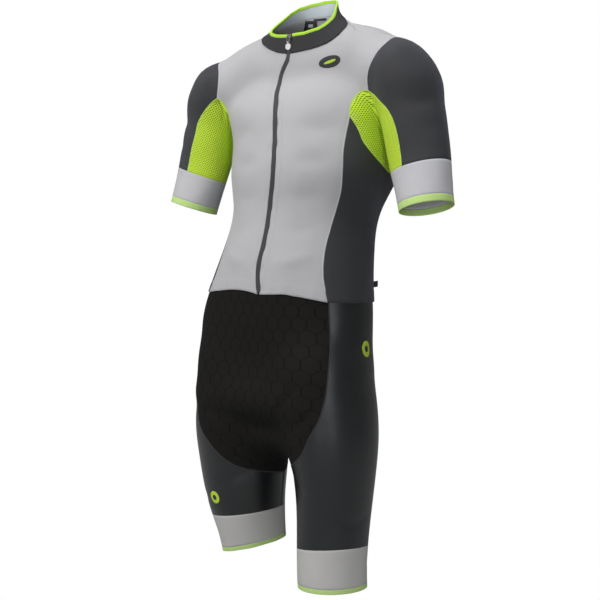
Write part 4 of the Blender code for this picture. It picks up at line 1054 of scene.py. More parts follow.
class Pattern(Enum):
    """Surface pattern of a finish: the group's name, its mask output."""
    KNIT = ("knit_loops", "Shade")
    MESH = ("open_mesh", "Hole")
    CELLS = ("pressed_cells", "Groove")
    RIBS = ("elastic_ribs", "Shade")


GROUP_MAKERS = {"knit_loops": knit_group, "open_mesh": mesh_group, "pressed_cells": cell_group,
                "elastic_ribs": rib_group, "dye_tone": blotch_group}


def shared_group(name: str) -> bpy.types.NodeTree:
    """The named group, made when it is first asked for."""
    return bpy.data.node_groups.get(name) or GROUP_MAKERS[name]()


@dataclass(frozen=True)
class Finish:
    """One finish: its colours, gloss, pattern and pattern sizes. low is a darker colour painted into the
    pattern's valleys, holes, grooves and gaps, as painted shade."""
    name: str
    slot: str
    color: tuple[float, float, float]
    low: tuple[float, float, float]
    pattern: Pattern = Pattern.KNIT
    sizes: tuple[tuple[str, float], ...] = ()
    depth: float = 0.0001
    roughness: float = 0.85
    rough_low: float = 0.95
    sheen: float = 0.0
    sheen_tint: tuple[float, float, float] = (1.0, 1.0, 1.0)
    coat: float = 0.0
    coat_rough: float = 0.3
    metallic: float = 0.0
    specular: float = 0.5
    tone: float = 0.04
    object_places: bool = False

    def material(self) -> bpy.types.Material:
        """The material, made once.

        Returns:
            Material with its pattern in colour, roughness and bump.
        """
        made = bpy.data.materials.get(self.name)
        if made:
            return made
        made = bpy.data.materials.new(self.name)
        made.use_nodes = True
        tree = made.node_tree
        shader = tree.nodes["Principled BSDF"]
        constants = {"Sheen Weight": self.sheen, "Sheen Roughness": 0.4, "Sheen Tint": (*self.sheen_tint, 1),
                     "Coat Weight": self.coat, "Coat Roughness": self.coat_rough, "Metallic": self.metallic,
                     "Specular IOR Level": self.specular}
        for label, value in constants.items():
            shader.inputs[label].default_value = value
        source = tree.nodes.new("ShaderNodeTexCoord")
        if self.object_places:
            places = source.outputs["Object"]
        else:
            uv_map = tree.nodes.new("ShaderNodeUVMap")
            uv_map.uv_map = "cloth"
            places = uv_map.outputs["UV"]
        group_name, mask_name = self.pattern.value
        pattern = tree.nodes.new("ShaderNodeGroup")
        pattern.node_tree = shared_group(group_name)
        tree.links.new(places, pattern.inputs["Vector"])
        for label, value in self.sizes:
            pattern.inputs[label].default_value = value * MM
        # Painted shade: the pattern's mask lays the darker low colour into knit and rib valleys, mesh holes and
        # pressed grooves.
        low_first = mask_name in ("Hole", "Groove")
        mix = tree.nodes.new("ShaderNodeMix")
        mix.data_type = "RGBA"
        mix.inputs["A"].default_value = (*(self.color if low_first else self.low), 1)
        mix.inputs["B"].default_value = (*(self.low if low_first else self.color), 1)
        tree.links.new(pattern.outputs[mask_name], mix.inputs["Factor"])
        tone = tree.nodes.new("ShaderNodeGroup")
        tone.node_tree = shared_group("dye_tone")
        tone.inputs["Amount"].default_value = self.tone
        tree.links.new(source.outputs["Object"], tone.inputs["Vector"])
        shade = tree.nodes.new("ShaderNodeVectorMath")
        shade.operation = "SCALE"
        tree.links.new(mix.outputs["Result"], shade.inputs[0])
        tree.links.new(tone.outputs["Tone"], shade.inputs["Scale"])
        tree.links.new(shade.outputs["Vector"], shader.inputs["Base Color"])
        rough = tree.nodes.new("ShaderNodeMapRange")
        ends = (self.roughness, self.rough_low) if low_first else (self.rough_low, self.roughness)
        rough.inputs["To Min"].default_value, rough.inputs["To Max"].default_value = ends
        tree.links.new(pattern.outputs[mask_name], rough.inputs["Value"])
        tree.links.new(rough.outputs["Result"], shader.inputs["Roughness"])
        bump = tree.nodes.new("ShaderNodeBump")
        bump.inputs["Distance"].default_value = self.depth
        tree.links.new(pattern.outputs["Height"], bump.inputs["Height"])
        tree.links.new(bump.outputs["Normal"], shader.inputs["Normal"])
        return made


# Each finish's second colour is painted shade, laid into its pattern's valleys, holes and grooves.
GREY = (0.435, 0.425, 0.432)
LIME = (0.56, 0.78, 0.035)
GREY_KNIT = Finish("matte_grey_knit", "grey_knit", GREY, (0.40, 0.395, 0.405), roughness=0.82, sheen=0.05)
BLACK_KNIT = Finish("smooth_black_knit", "black_knit", (0.028, 0.0285, 0.031), (0.018, 0.018, 0.021),
                    roughness=0.6,
                    rough_low=0.8, sheen=0.12, sheen_tint=(0.75, 0.8, 1.0))
# The lime mesh's dark second colour is painted shade in its holes.
LIME_MESH = Finish("open_lime_mesh", "lime_mesh", LIME, (0.085, 0.14, 0.005), Pattern.MESH, depth=0.0007,
                   roughness=0.8, sheen=0.05)
LIME_RIB = Finish("ribbed_lime_binding", "lime_rib", (0.45, 0.76, 0.05), (0.30, 0.52, 0.03), Pattern.RIBS,
                  (("Pitch", 1.3), ("Thread", 0.7)), 0.0002)
PALE_LIME_RIB = Finish("ribbed_pale_lime_trim", "lime_rib", (0.48, 0.67, 0.22), (0.36, 0.51, 0.15),
                       Pattern.RIBS,
                       (("Pitch", 1.3), ("Thread", 0.7)), 0.0002)
CUFF_KNIT = Finish("grey_elastic_cuff", "band_knit", (0.46, 0.455, 0.47), (0.40, 0.395, 0.41), Pattern.RIBS,
                   (("Pitch", 1.0), ("Thread", 0.8)), 0.00012)
BAND_KNIT = Finish("grey_elastic_band", "band_knit", (0.46, 0.45, 0.435), (0.38, 0.372, 0.36), Pattern.RIBS,
                   (("Pitch", 1.0), ("Thread", 0.8)), 0.00012)
COLLAR_KNIT = Finish("matte_collar_knit", "collar_knit", (0.026, 0.026, 0.027), (0.018, 0.018, 0.019))
# Blue-grey is the facing's own colour; its brightness is raised above the cloth's as painted light, since the
# inside of the neck lies in shade.
FACING_KNIT = Finish("blue_grey_facing", "facing_knit", (0.62, 0.68, 0.72), (0.52, 0.57, 0.61))
# The darker second colour of the pressed cloth is painted shade in its grooves.
CELL_CLOTH = Finish("pressed_cell_cloth", "shorts_cells", (0.0065, 0.0058, 0.005), (0.0040, 0.0036, 0.0032),
                    Pattern.CELLS, (("Width", CELL[0]), ("Row", CELL[1])), 0.0002, roughness=0.75,
                    specular=0.14)
GLOSS_CLOTH = Finish("gloss_black_lycra", "gloss_lycra", (0.0075, 0.0083, 0.0092), (0.006, 0.0067, 0.0075),
                     sizes=(("Wale", 0.6), ("Course", 0.5)), depth=0.00003, roughness=0.27, rough_low=0.31,
                     coat=0.05, specular=0.5)
ZIP_TAPE = Finish("dark_zip_tape", "zip_teeth", (0.040, 0.040, 0.043), (0.018, 0.018, 0.02), Pattern.RIBS,
                  (("Pitch", 1.0), ("Thread", 1.5)), 0.0002, roughness=0.6)
THREAD_GREY = Finish("pale_grey_thread", "grey_knit", (0.56, 0.555, 0.565), (0.4, 0.4, 0.41),
                     object_places=True)
THREAD_BLACK = Finish("black_thread", "black_knit", (0.03, 0.03, 0.033), (0.02, 0.02, 0.02),
                      object_places=True)
THREAD_LIME = Finish("lime_thread", "lime_mesh", (0.56, 0.78, 0.14), (0.35, 0.5, 0.06), object_places=True)
LABEL_CLOTH = Finish("satin_label", "label_cloth", (0.022, 0.022, 0.026), (0.016, 0.016, 0.02), Pattern.RIBS,
                     (("Pitch", 0.4), ("Thread", 0.4)), 0.00005, roughness=0.45, object_places=True)
LABEL_MARK = Finish("pale_label_weave", "label_cloth", (0.55, 0.55, 0.56), (0.4, 0.4, 0.4), Pattern.RIBS,
                    (("Pitch", 0.4), ("Thread", 0.4)), 0.00005, roughness=0.5, object_places=True)
TAB_CLOTH = Finish("dark_webbing", "tab_webbing", (0.035, 0.022, 0.022), (0.02, 0.014, 0.014), Pattern.RIBS,
                   (("Pitch", 0.8), ("Thread", 0.8)), 0.0001, object_places=True)
BADGE_BLACK = Finish("matte_black_print", "black_knit", (0.022, 0.023, 0.027), (0.02, 0.02, 0.024),
                     roughness=0.5,
                     object_places=True)
BADGE_LIME = Finish("matte_lime_print", "lime_mesh", (0.42, 0.58, 0.03), (0.4, 0.56, 0.03), roughness=0.55,
                    object_places=True)
SLIDER_METAL = Finish("dark_lacquer", "zip_metal", (0.09, 0.085, 0.09), (0.07, 0.07, 0.07), Pattern.RIBS,
                      (("Pitch", 0.5), ("Thread", 0.5)), 0.00001, roughness=0.35, rough_low=0.45,
                      metallic=0.8,
                      object_places=True)
LINK_METAL = Finish("satin_link_metal", "zip_metal", (0.34, 0.33, 0.34), (0.3, 0.3, 0.3), Pattern.RIBS,
                    (("Pitch", 0.5), ("Thread", 0.5)), 0.00001, roughness=0.3, rough_low=0.4, metallic=0.8,
                    object_places=True)
DISC_METAL = Finish("satin_disc_metal", "pull_disc", (0.62, 0.61, 0.60), (0.5, 0.5, 0.5), Pattern.RIBS,
                    (("Pitch", 0.6), ("Thread", 0.6)), 0.00002, roughness=0.42, rough_low=0.5, metallic=0.35,
                    object_places=True)


def dress(piece: bpy.types.Object, finish: Finish, *nodes: str, body: str = "suit") -> None:
    """Gives a piece its finish and body, and hides the CAD nodes that it stands for.

    Args:
        piece: the object.
        finish: its finish.
        nodes: CAD nodes that it replaces.
        body: the body that it rides on.
    """
    piece.data.materials.clear()
    piece.data.materials.append(finish.material())
    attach(piece, body)
    if nodes:
        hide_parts(*nodes)


def sew(cloth: Cloth, finish: Finish, node: str, hangs_from: str,
        turned: float = 0.0) -> bpy.types.Object:
    """Builds a cloth piece, dresses it and declares its cut.

    Args:
        cloth: the piece.
        finish: its finish.
        node: the CAD node that it stands for.
        hangs_from: node that carries it; not used.
        turned: millimetres of cloth folded over the edge, added to the cut's length.
    Returns:
        The object.
    """
    piece = cloth.build()
    dress(piece, finish, node)
    flat, area = cloth.flat()
    if turned:
        flat = flat[0], flat[1] + turned * MM
        area = 0.98 * flat[0] * flat[1]
    LOG.info("%s: %d faces, cut %.3f x %.3f m", piece.name, len(piece.data.polygons), *flat)
    return piece


def word(side: int) -> str:
    """Name of the wearer's side."""
    return "left" if side > 0 else "right"


def around_places(figure: Figure, grid: Array, tube: str, side: int, radius: float) -> Array:
    """Pattern places round a tube: angle times a fixed radius, and the distance down it.

    Args:
        figure: owner of the tube.
        grid: points.
        tube: its name.
        side: 1 left, -1 right.
        radius: millimetres.
    Returns:
        Places in metres, one pair a point.
    """
    u, v, t = figure.tubes[tube, side].local(grid)
    turn = np.arctan2(u, v)
    jump = np.abs(np.diff(turn, axis=1)).max(initial=0) > math.pi
    turn = np.where(turn < 0, turn + 2 * math.pi, turn) if jump else turn
    return np.stack([turn * radius * MM, t], -1)


def cell_grooves(places: Array) -> Array:
    """Depth of the pressed grooves at pattern places, by the rule of the group pressed_cells.

    Args:
        places: pairs in metres.
    Returns:
        Heights in metres, zero on the cells.
    """
    x, y = places[..., 0] / (CELL[0] * MM), places[..., 1] / (2 * CELL[1] * MM)

    def to_nearest(shift: float) -> tuple[Array, Array]:
        """Distance squared to the nearest centre of one set, and the sideways part of it."""
        a, b = (x + shift) % 1 - 0.5, (y + shift) % 1 - 0.5
        return a * a + b * b * 3.0, np.abs(a)

    (first, first_side), (second, second_side) = to_nearest(0.0), to_nearest(0.5)
    side = 0.5 - np.where(first < second, first_side, second_side)
    near = np.minimum(np.abs(first - second), side)
    return -CELL[2] * MM * (1 - smooth(near / 0.11))


@dataclass
class Jersey:
    """Front, side and back panels, armpit gussets, sleeves and their cuffs."""
    figure: Figure
    zip_allowance: float = ZIP_SHOWN + 0.1
    strip_width: float = 10.0
    strip_height: float = 0.45
    hem_width: float = 17.0
    hem_height: float = 0.4
    seams: dict[int, dict[str, Array]] = field(default_factory=dict)

    def draw_seams(self) -> None:
        """Works out every fine seam line for both sides. Lines run on the figure through the table's
        points."""
        fig, d = self.figure, DIVIDE
        zip_line = fig.seam("zip", 1, 400)
        start = int(np.argmin(np.linalg.norm(zip_line - fig.at("neck", 139, 0), axis=1)))
        self.zip_line = zip_line
        self.front_line = fig.through(zip_line[start::10], (d["armhole"] + d["gusset"] + d["side"]) * FINE)
        self.front_line[0] = fig.through(zip_line[:start + 1:10], d["collar_front"])[-1]
        spans = {"shoulder": "shoulder", "armhole_front": "armhole", "armhole_back": "armhole",
                 "gusset_front": "gusset", "gusset_back": "gusset", "gusset_bottom": "under",
                 "side_front": "side",
                 "side_back": "side", "sleeve_front": "sleeve", "sleeve_back": "sleeve"}
        for side in (1, -1):
            s = {name: fig.seam(name, side, d[key] * FINE) for name, key in spans.items()}
            fold = fig.settle(np.array(FOLD[side]) * MM * (side, 1, 1))
            s["fold"] = fig.through(np.concatenate([s["gusset_front"][:1], fold, s["gusset_back"][:1]]),
                                    d["under"] * FINE)
            s["neck"] = fig.edge("neck", NECKLINE, np.linspace(0, 86, d["neck"] * FINE + 1) * side)
            s["neck"][0], s["neck"][-1] = self.front_line[0], s["shoulder"][0]
            s["nape"] = fig.edge("neck", NECKLINE, np.linspace(86, 180, d["neck"] * FINE + 1) * side)
            s["nape"][0] = s["shoulder"][0]
            wide = (d["neck"] + d["shoulder"]) * FINE
            hem = lambda first, last, n: fig.edge("trunk", JERSEY_HEM, np.linspace(first, last, n) * side)
            s["hem_front"] = fig.through(np.concatenate([self.front_line[-1:], hem(8, 45, 7),
                                                         s["side_front"][-1:]]),
                                         wide)
            s["hem_side"] = fig.through(np.concatenate([s["side_front"][-1:], hem(58, 110, 6),
                                                        s["side_back"][-1:]]),
                                        d["under"] * FINE)
            s["hem_back"] = fig.through(np.concatenate([s["side_back"][-1:], hem(125, 180, 6)]), wide)
            self.seams[side] = s

    def hem_relief(self, cloth: Cloth) -> Array:
        """Extra height of the turned hem, a soft step of hem_height within hem_width of the bottom edge."""
        up = cloth.down()[-1][None] - cloth.down()
        return self.hem_height * MM * (1 - smooth((up / MM - self.hem_width) / 1.6))

    def strip_relief(self, cloth: Cloth, side: int) -> Array:
        """Extra height of the stitched strip beside the zip, a soft step by the distance from the zip's
        edge."""
        run = cloth.across()
        away = run if side > 0 else run[:, -1:] - run
        return self.strip_height * MM * (1 - smooth((away / MM - self.strip_width) / 1.6))

    def build_front(self, side: int) -> None:
        """Front panel of one side, from the shoulder to the hem."""
        s = self.seams[side]
        sheet = Sheet(self.figure, joined(s["neck"], s["shoulder"]), s["hem_front"], self.front_line,
                      joined(s["armhole_front"], s["gusset_front"], s["side_front"]),
                      {"left": self.zip_allowance}, side)
        name = "front_panel_" + word(side)
        cloth = Cloth(name, sheet.grid, self.figure, "jersey", creases=JERSEY_CREASES)
        cloth.extra = np.maximum(self.hem_relief(cloth), self.strip_relief(cloth, side))
        sew(cloth, GREY_KNIT, "front_" + word(side), "back")

    def build_side(self, side: int) -> None:
        """Side panel of one side, from the gusset to the hem."""
        s = self.seams[side]
        sheet = Sheet(self.figure, s["gusset_bottom"], s["hem_side"], s["side_front"], s["side_back"],
                      side=side)
        cloth = Cloth("side_panel_" + word(side), sheet.grid, self.figure, "jersey", creases=JERSEY_CREASES)
        cloth.extra = self.hem_relief(cloth)
        sew(cloth, BLACK_KNIT, "side_" + word(side), "back")

    def build_gussets(self, side: int) -> None:
        """Both armpit gussets of one side. They sink by GUSSET_DROP towards the fold, over 13 mm."""
        s, fig = self.seams[side], self.figure
        body = Sheet(fig, s["fold"], s["gusset_bottom"], s["gusset_front"], s["gusset_back"], side=side)
        under = np.linspace(187, 360 + CUFF_START[side], DIVIDE["under"] * FINE + 1)
        cuff = fig.ring("cuff", "arm", side, under)
        cuff[0], cuff[-1] = s["sleeve_back"][-1], s["sleeve_front"][-1]
        arm = Sheet(fig, s["fold"][::-1], cuff, s["sleeve_back"], s["sleeve_front"], side=side, hold=0)
        parts = (("gusset_body_", "armpit_mesh_body_", body, "side_"),
                 ("gusset_sleeve_", "armpit_mesh_arm_", arm, "sleeve_"))
        for node, name, sheet, carrier in parts:
            if node == "gusset_body_":
                places = sheet.grid[..., 1:]
            else:
                places = around_places(fig, sheet.grid, "arm", side, 46)
            cloth = Cloth(name + word(side), sheet.grid, fig, "jersey", creases=GUSSET_CREASES, places=places)
            drop = GUSSET_DROP * MM * (1 - smooth(cloth.down() / 0.013))
            cloth.grid = cloth.grid - fig.normal(cloth.grid) * drop[..., None]
            sew(cloth, LIME_MESH, node + word(side), carrier + word(side))

    def build_sleeve(self, side: int) -> None:
        """Sleeve, cuff and lime trim of one side."""
        s, fig, d = self.seams[side], self.figure, DIVIDE
        over = np.linspace(CUFF_START[side], 187, 2 * d["armhole"] * FINE + 1)
        under = np.linspace(187, 360 + CUFF_START[side], d["under"] * FINE + 1)
        top = fig.ring("cuff", "arm", side, over)
        s["sleeve_front"][-1], s["sleeve_back"][-1] = top[0], top[-1]
        sheet = Sheet(fig, joined(s["armhole_front"][::-1], s["armhole_back"]), top, s["sleeve_front"],
                      s["sleeve_back"], side=side)
        sew(Cloth("sleeve_panel_" + word(side), sheet.grid, fig, "jersey", creases=SLEEVE_CREASES),
            BLACK_KNIT,
            "sleeve_" + word(side), "front_" + word(side))
        angles = np.concatenate([over[:-1], under[:-1]])[::side]
        rings = [fig.ring(n, "arm", side, angles, low)
                 for n, low in (("cuff", 0), ("sleeve_hem", -TRIM["sleeve"]), ("sleeve_hem", 0))]
        s["cuff"], s["cuff_trim"], s["cuff_hem"] = rings
        self.ring_piece("cuff_band_", side, rings[0], rings[1], 14, CUFF_KNIT, "sleeve_")
        self.ring_piece("cuff_trim_", side, rings[1], rings[2], 5, PALE_LIME_RIB, "cuff_band_")

    def ring_piece(self, name: str, side: int, upper: Array, lower: Array, rows: int, finish: Finish,
                   carrier: str) -> None:
        """A closed band between two rings of points, straight rows between them settled on the figure."""
        grid = ring_grid(self.figure, upper, lower, rows)
        cloth = Cloth(name + "cloth_" + word(side), grid, self.figure, "jersey", closed=True,
                      creases=BAND_CREASES)
        sew(cloth, finish, name + word(side), carrier + word(side))

    def build_back(self) -> None:
        """Back panel, from neck and shoulders to the hem."""
        left, right = self.seams[1], self.seams[-1]
        sheet = Sheet(self.figure,
                      joined(left["shoulder"][::-1], left["nape"], right["nape"][::-1], right["shoulder"]),
                      joined(left["hem_back"], right["hem_back"][::-1]),
                      joined(left["armhole_back"], left["gusset_back"], left["side_back"]),
                      joined(right["armhole_back"], right["gusset_back"], right["side_back"]))
        cloth = Cloth("back_panel", sheet.grid, self.figure, "jersey", creases=JERSEY_CREASES)
        cloth.extra = self.hem_relief(cloth)
        sew(cloth, GREY_KNIT, "back", "collar")

    def build(self) -> None:
        """Builds every piece of the jersey."""
        self.draw_seams()
        for side in (1, -1):
            self.build_front(side)
            self.build_side(side)
            self.build_gussets(side)
            self.build_sleeve(side)
        self.build_back()


def ring_grid(figure: Figure, upper: Array, lower: Array, rows: int) -> Array:
    """Grid between two closed edges, straight between them and settled on the figure."""
    steps = np.linspace(0, 1, rows + 1)[:, None, None]
    return figure.settle(upper[None] * (1 - steps) + lower[None] * steps, 3)


@dataclass
class Collar:
    """Stand collar, its facing, the lime binding on its top edge."""
    figure: Figure
    jersey: Jersey
    lines: dict[str, Array] = field(default_factory=dict)

    def build(self) -> None:
        """Builds the three strips round the neck, each open at the zip."""
        fig, d = self.figure, DIVIDE
        left, right = self.jersey.seams[1], self.jersey.seams[-1]
        neckline = joined(left["neck"], left["nape"], right["nape"][::-1], right["neck"][::-1])
        quarter = np.concatenate([np.linspace(0, 86, d["neck"] * FINE + 1),
                                  np.linspace(86, 180, d["neck"] * FINE + 1)[1:]])
        angles = np.concatenate([quarter, 360 - quarter[-2::-1]])
        fold = fig.edge("neck", COLLAR_TOP, angles, BINDING)
        top = fig.edge("neck", COLLAR_TOP, angles)
        fold[0] = fold[-1] = fig.at("neck", 106 + BINDING, 0)[0]
        top[0] = top[-1] = self.jersey.zip_line[0]
        stand = fig.through(np.stack([fold[0], neckline[0]]), d["collar_front"] * FINE)
        stand[0], stand[-1] = fold[0], neckline[0]
        self.lines = {"neckline": neckline, "fold": fold, "top": top, "stand": stand}
        cuts = {"left": ZIP_HALF, "right": ZIP_HALF}
        for node, name, layer, finish in (("collar", "stand_collar", "collar", COLLAR_KNIT),
                                          ("collar_facing", "collar_lining", "facing", FACING_KNIT)):
            sheet = Sheet(fig, fold, neckline, stand, stand, cuts)
            sew(Cloth(name, sheet.grid, fig, layer), finish, node, "back")
        grid = ring_grid(fig, top, fold, 6)
        keep = np.linalg.norm(grid[0] - top[0], axis=1) > ZIP_HALF * MM
        cloth = Cloth("collar_edge_binding", grid[:, keep], fig, "binding")
        down = np.linspace(0, 1, grid.shape[0])[:, None]
        cloth.extra = -1.0 * MM * (1 - np.sin(np.pi * np.clip(down * 0.75 + 0.25, 0,
                                                              1))) * np.ones(cloth.grid.shape[:2])
        sew(cloth, LIME_RIB, "collar_binding", "collar", 0.2)


@dataclass
class ZipFastener:
    """Zip tape with its coil, and the CAD slider, link and disc in their metals."""
    figure: Figure
    jersey: Jersey
    collar: Collar
    coil_pitch: float = 1.5
    coil_height: float = 0.35
    step: float = 0.5

    def build(self) -> None:
        """Lays the tape down the front: a strip with a raised, ribbed middle and a slit, |x| sets the
        profile."""
        fig = self.figure
        run = np.concatenate([self.jersey.zip_line[:1], self.collar.lines["stand"],
                              self.jersey.front_line[1:]])
        length = float(np.linalg.norm(np.diff(run, axis=0), axis=1).sum())
        line = fig.through(run[::3], int(length / MM / self.step))
        along = unit(np.gradient(line, axis=0))
        across = unit(np.cross(along, fig.normal(line))) * MM
        x = np.linspace(-ZIP_SHOWN - 0.15, ZIP_SHOWN + 0.15, 19)
        grid = fig.settle(line[:, None] - across[:, None] * x[None, :, None], 2)
        s = np.arange(len(line))[:, None] * self.step
        slit = np.exp(-(x / 0.35)**2)[None]
        ribs = np.sin(2 * np.pi * s / self.coil_pitch) * np.exp(-((np.abs(x) - 1.2) / 0.7)**2)[None]
        crown = (1 - smooth((np.abs(x) - 2.6) / 1.0))[None]
        cloth = Cloth("zip_tape_and_coil", grid, fig, "zip")
        cloth.extra = MM * (0.7 * crown + self.coil_height * 0.5 * ribs - 0.6 * slit)
        dress(cloth.build(), ZIP_TAPE, "zip_chain")
        for node, finish in (("zip_slider", SLIDER_METAL), ("zip_link", LINK_METAL),
                             ("zip_disc", DISC_METAL)):
            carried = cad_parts[node]
            carried.data.materials.clear()
            carried.data.materials.append(finish.material())
        LOG.info("zip: %d rows of tape", len(line))


@dataclass
class Shorts:
    """Front and seat with pressed cells, glossy leg panels, leg bands and their lime trims."""
    figure: Figure
    seams: dict[int, dict[str, Array]] = field(default_factory=dict)

    def draw_seams(self, side: int) -> None:
        """Works out the fine seam lines of one side."""
        fig, d = self.figure, DIVIDE
        front = fig.seam("front_panel", side, d["shorts"] * FINE)
        seat = fig.seam("seat", side, d["shorts"] * FINE)
        seat[-1] = front[-1]
        mean, extra, toward = RINGS["band_" + word(side)]
        foot = mean + extra * np.cos(np.radians(258 - toward))
        first = SEAMS["front_panel_" + word(side)][-1][1]
        inner = fig.through(np.concatenate([front[-1:], fig.at("leg", np.linspace(first + 15, foot - 8, 5),
                                                               258, side),
                                            fig.ring("band", "leg", side, [258])]), d["inner_leg"] * FINE)
        angles = np.linspace(-102, 258, d["leg_ring"] * FINE + 1)
        ring = fig.ring("band", "leg", side, angles)
        ring[0] = ring[-1] = inner[-1]
        ends = (51, 118) if side > 0 else (53, 118)
        top = fig.at("trunk", 335, np.linspace(*ends, d["leg_ring"] * FINE + 1), side)
        top[0], top[-1] = front[0], seat[0]
        self.seams[side] = {"front": front, "seat": seat, "inner": inner, "ring": ring, "top": top,
                            "angles": angles}

    def build_leg(self, side: int) -> None:
        """Leg panel, band and trim of one side."""
        fig, s = self.figure, self.seams[side]
        sheet = Sheet(fig, s["top"], s["ring"], joined(s["front"], s["inner"]), joined(s["seat"], s["inner"]),
                      side=side)
        sew(Cloth("leg_panel_cloth_" + word(side), sheet.grid, fig, "shorts", creases=SHORTS_CREASES),
            GLOSS_CLOTH,
            "leg_panel_" + word(side), "shorts_front")
        angles = s["angles"][:-1][::side]
        rings = [fig.ring(n, "leg", side, angles, low)
                 for n, low in (("band", 0), ("leg_hem", -TRIM["leg"]), ("leg_hem", 0))]
        s["trim"], s["hem"] = rings[1:]
        for name, upper, lower, rows, finish, carrier in (("leg_band_", 0, 1, 16, BAND_KNIT, "leg_panel_"),
                                                          ("leg_trim_", 1, 2, 5, PALE_LIME_RIB, "leg_band_")):
            grid = ring_grid(fig, rings[upper], rings[lower], rows)
            cloth = Cloth(name + "cloth_" + word(side), grid, fig, "shorts", closed=True,
                          creases=BAND_CREASES)
            sew(cloth, finish, name + word(side), carrier + word(side))

    def build(self) -> None:
        """Builds every piece of the shorts."""
        fig, d = self.figure, DIVIDE
        for side in (1, -1):
            self.draw_seams(side)
            self.build_leg(side)
        left, right = self.seams[1], self.seams[-1]
        under = fig.through(np.concatenate([right["front"][-1:], fig.settle(np.array([CROTCH]) * MM, 8),
                                            left["front"][-1:]]), d["shorts_top"] * FINE)
        self.seams[1]["under"] = under
        waist = lambda a, b: fig.at("trunk", 335, np.linspace(a, b, d["shorts_top"] * FINE + 1))
        panels = (("shorts_front", waist(-53, 51), under, right["front"], left["front"]),
                  ("shorts_seat", waist(118, 242), under[::-1], left["seat"], right["seat"]))
        for node, top, bottom, first, second in panels:
            sheet = Sheet(fig, top, bottom, first, second, finer=2)
            u, v, _ = fig.tubes["trunk", 1].local(sheet.grid)
            turn = np.arctan2(u + 0.028, v - 0.02)
            turn = np.where(turn < 0, turn + 2 * np.pi, turn) if node == "shorts_seat" else turn
            places = np.stack([turn * 0.13, -sheet.grid[..., 2]], -1)
            cloth = Cloth(node + "_cloth", sheet.grid, fig, "shorts", creases=SHORTS_CREASES, places=places)
            cloth.extra = cell_grooves(places)
            sew(cloth, CELL_CLOTH, node, "back")


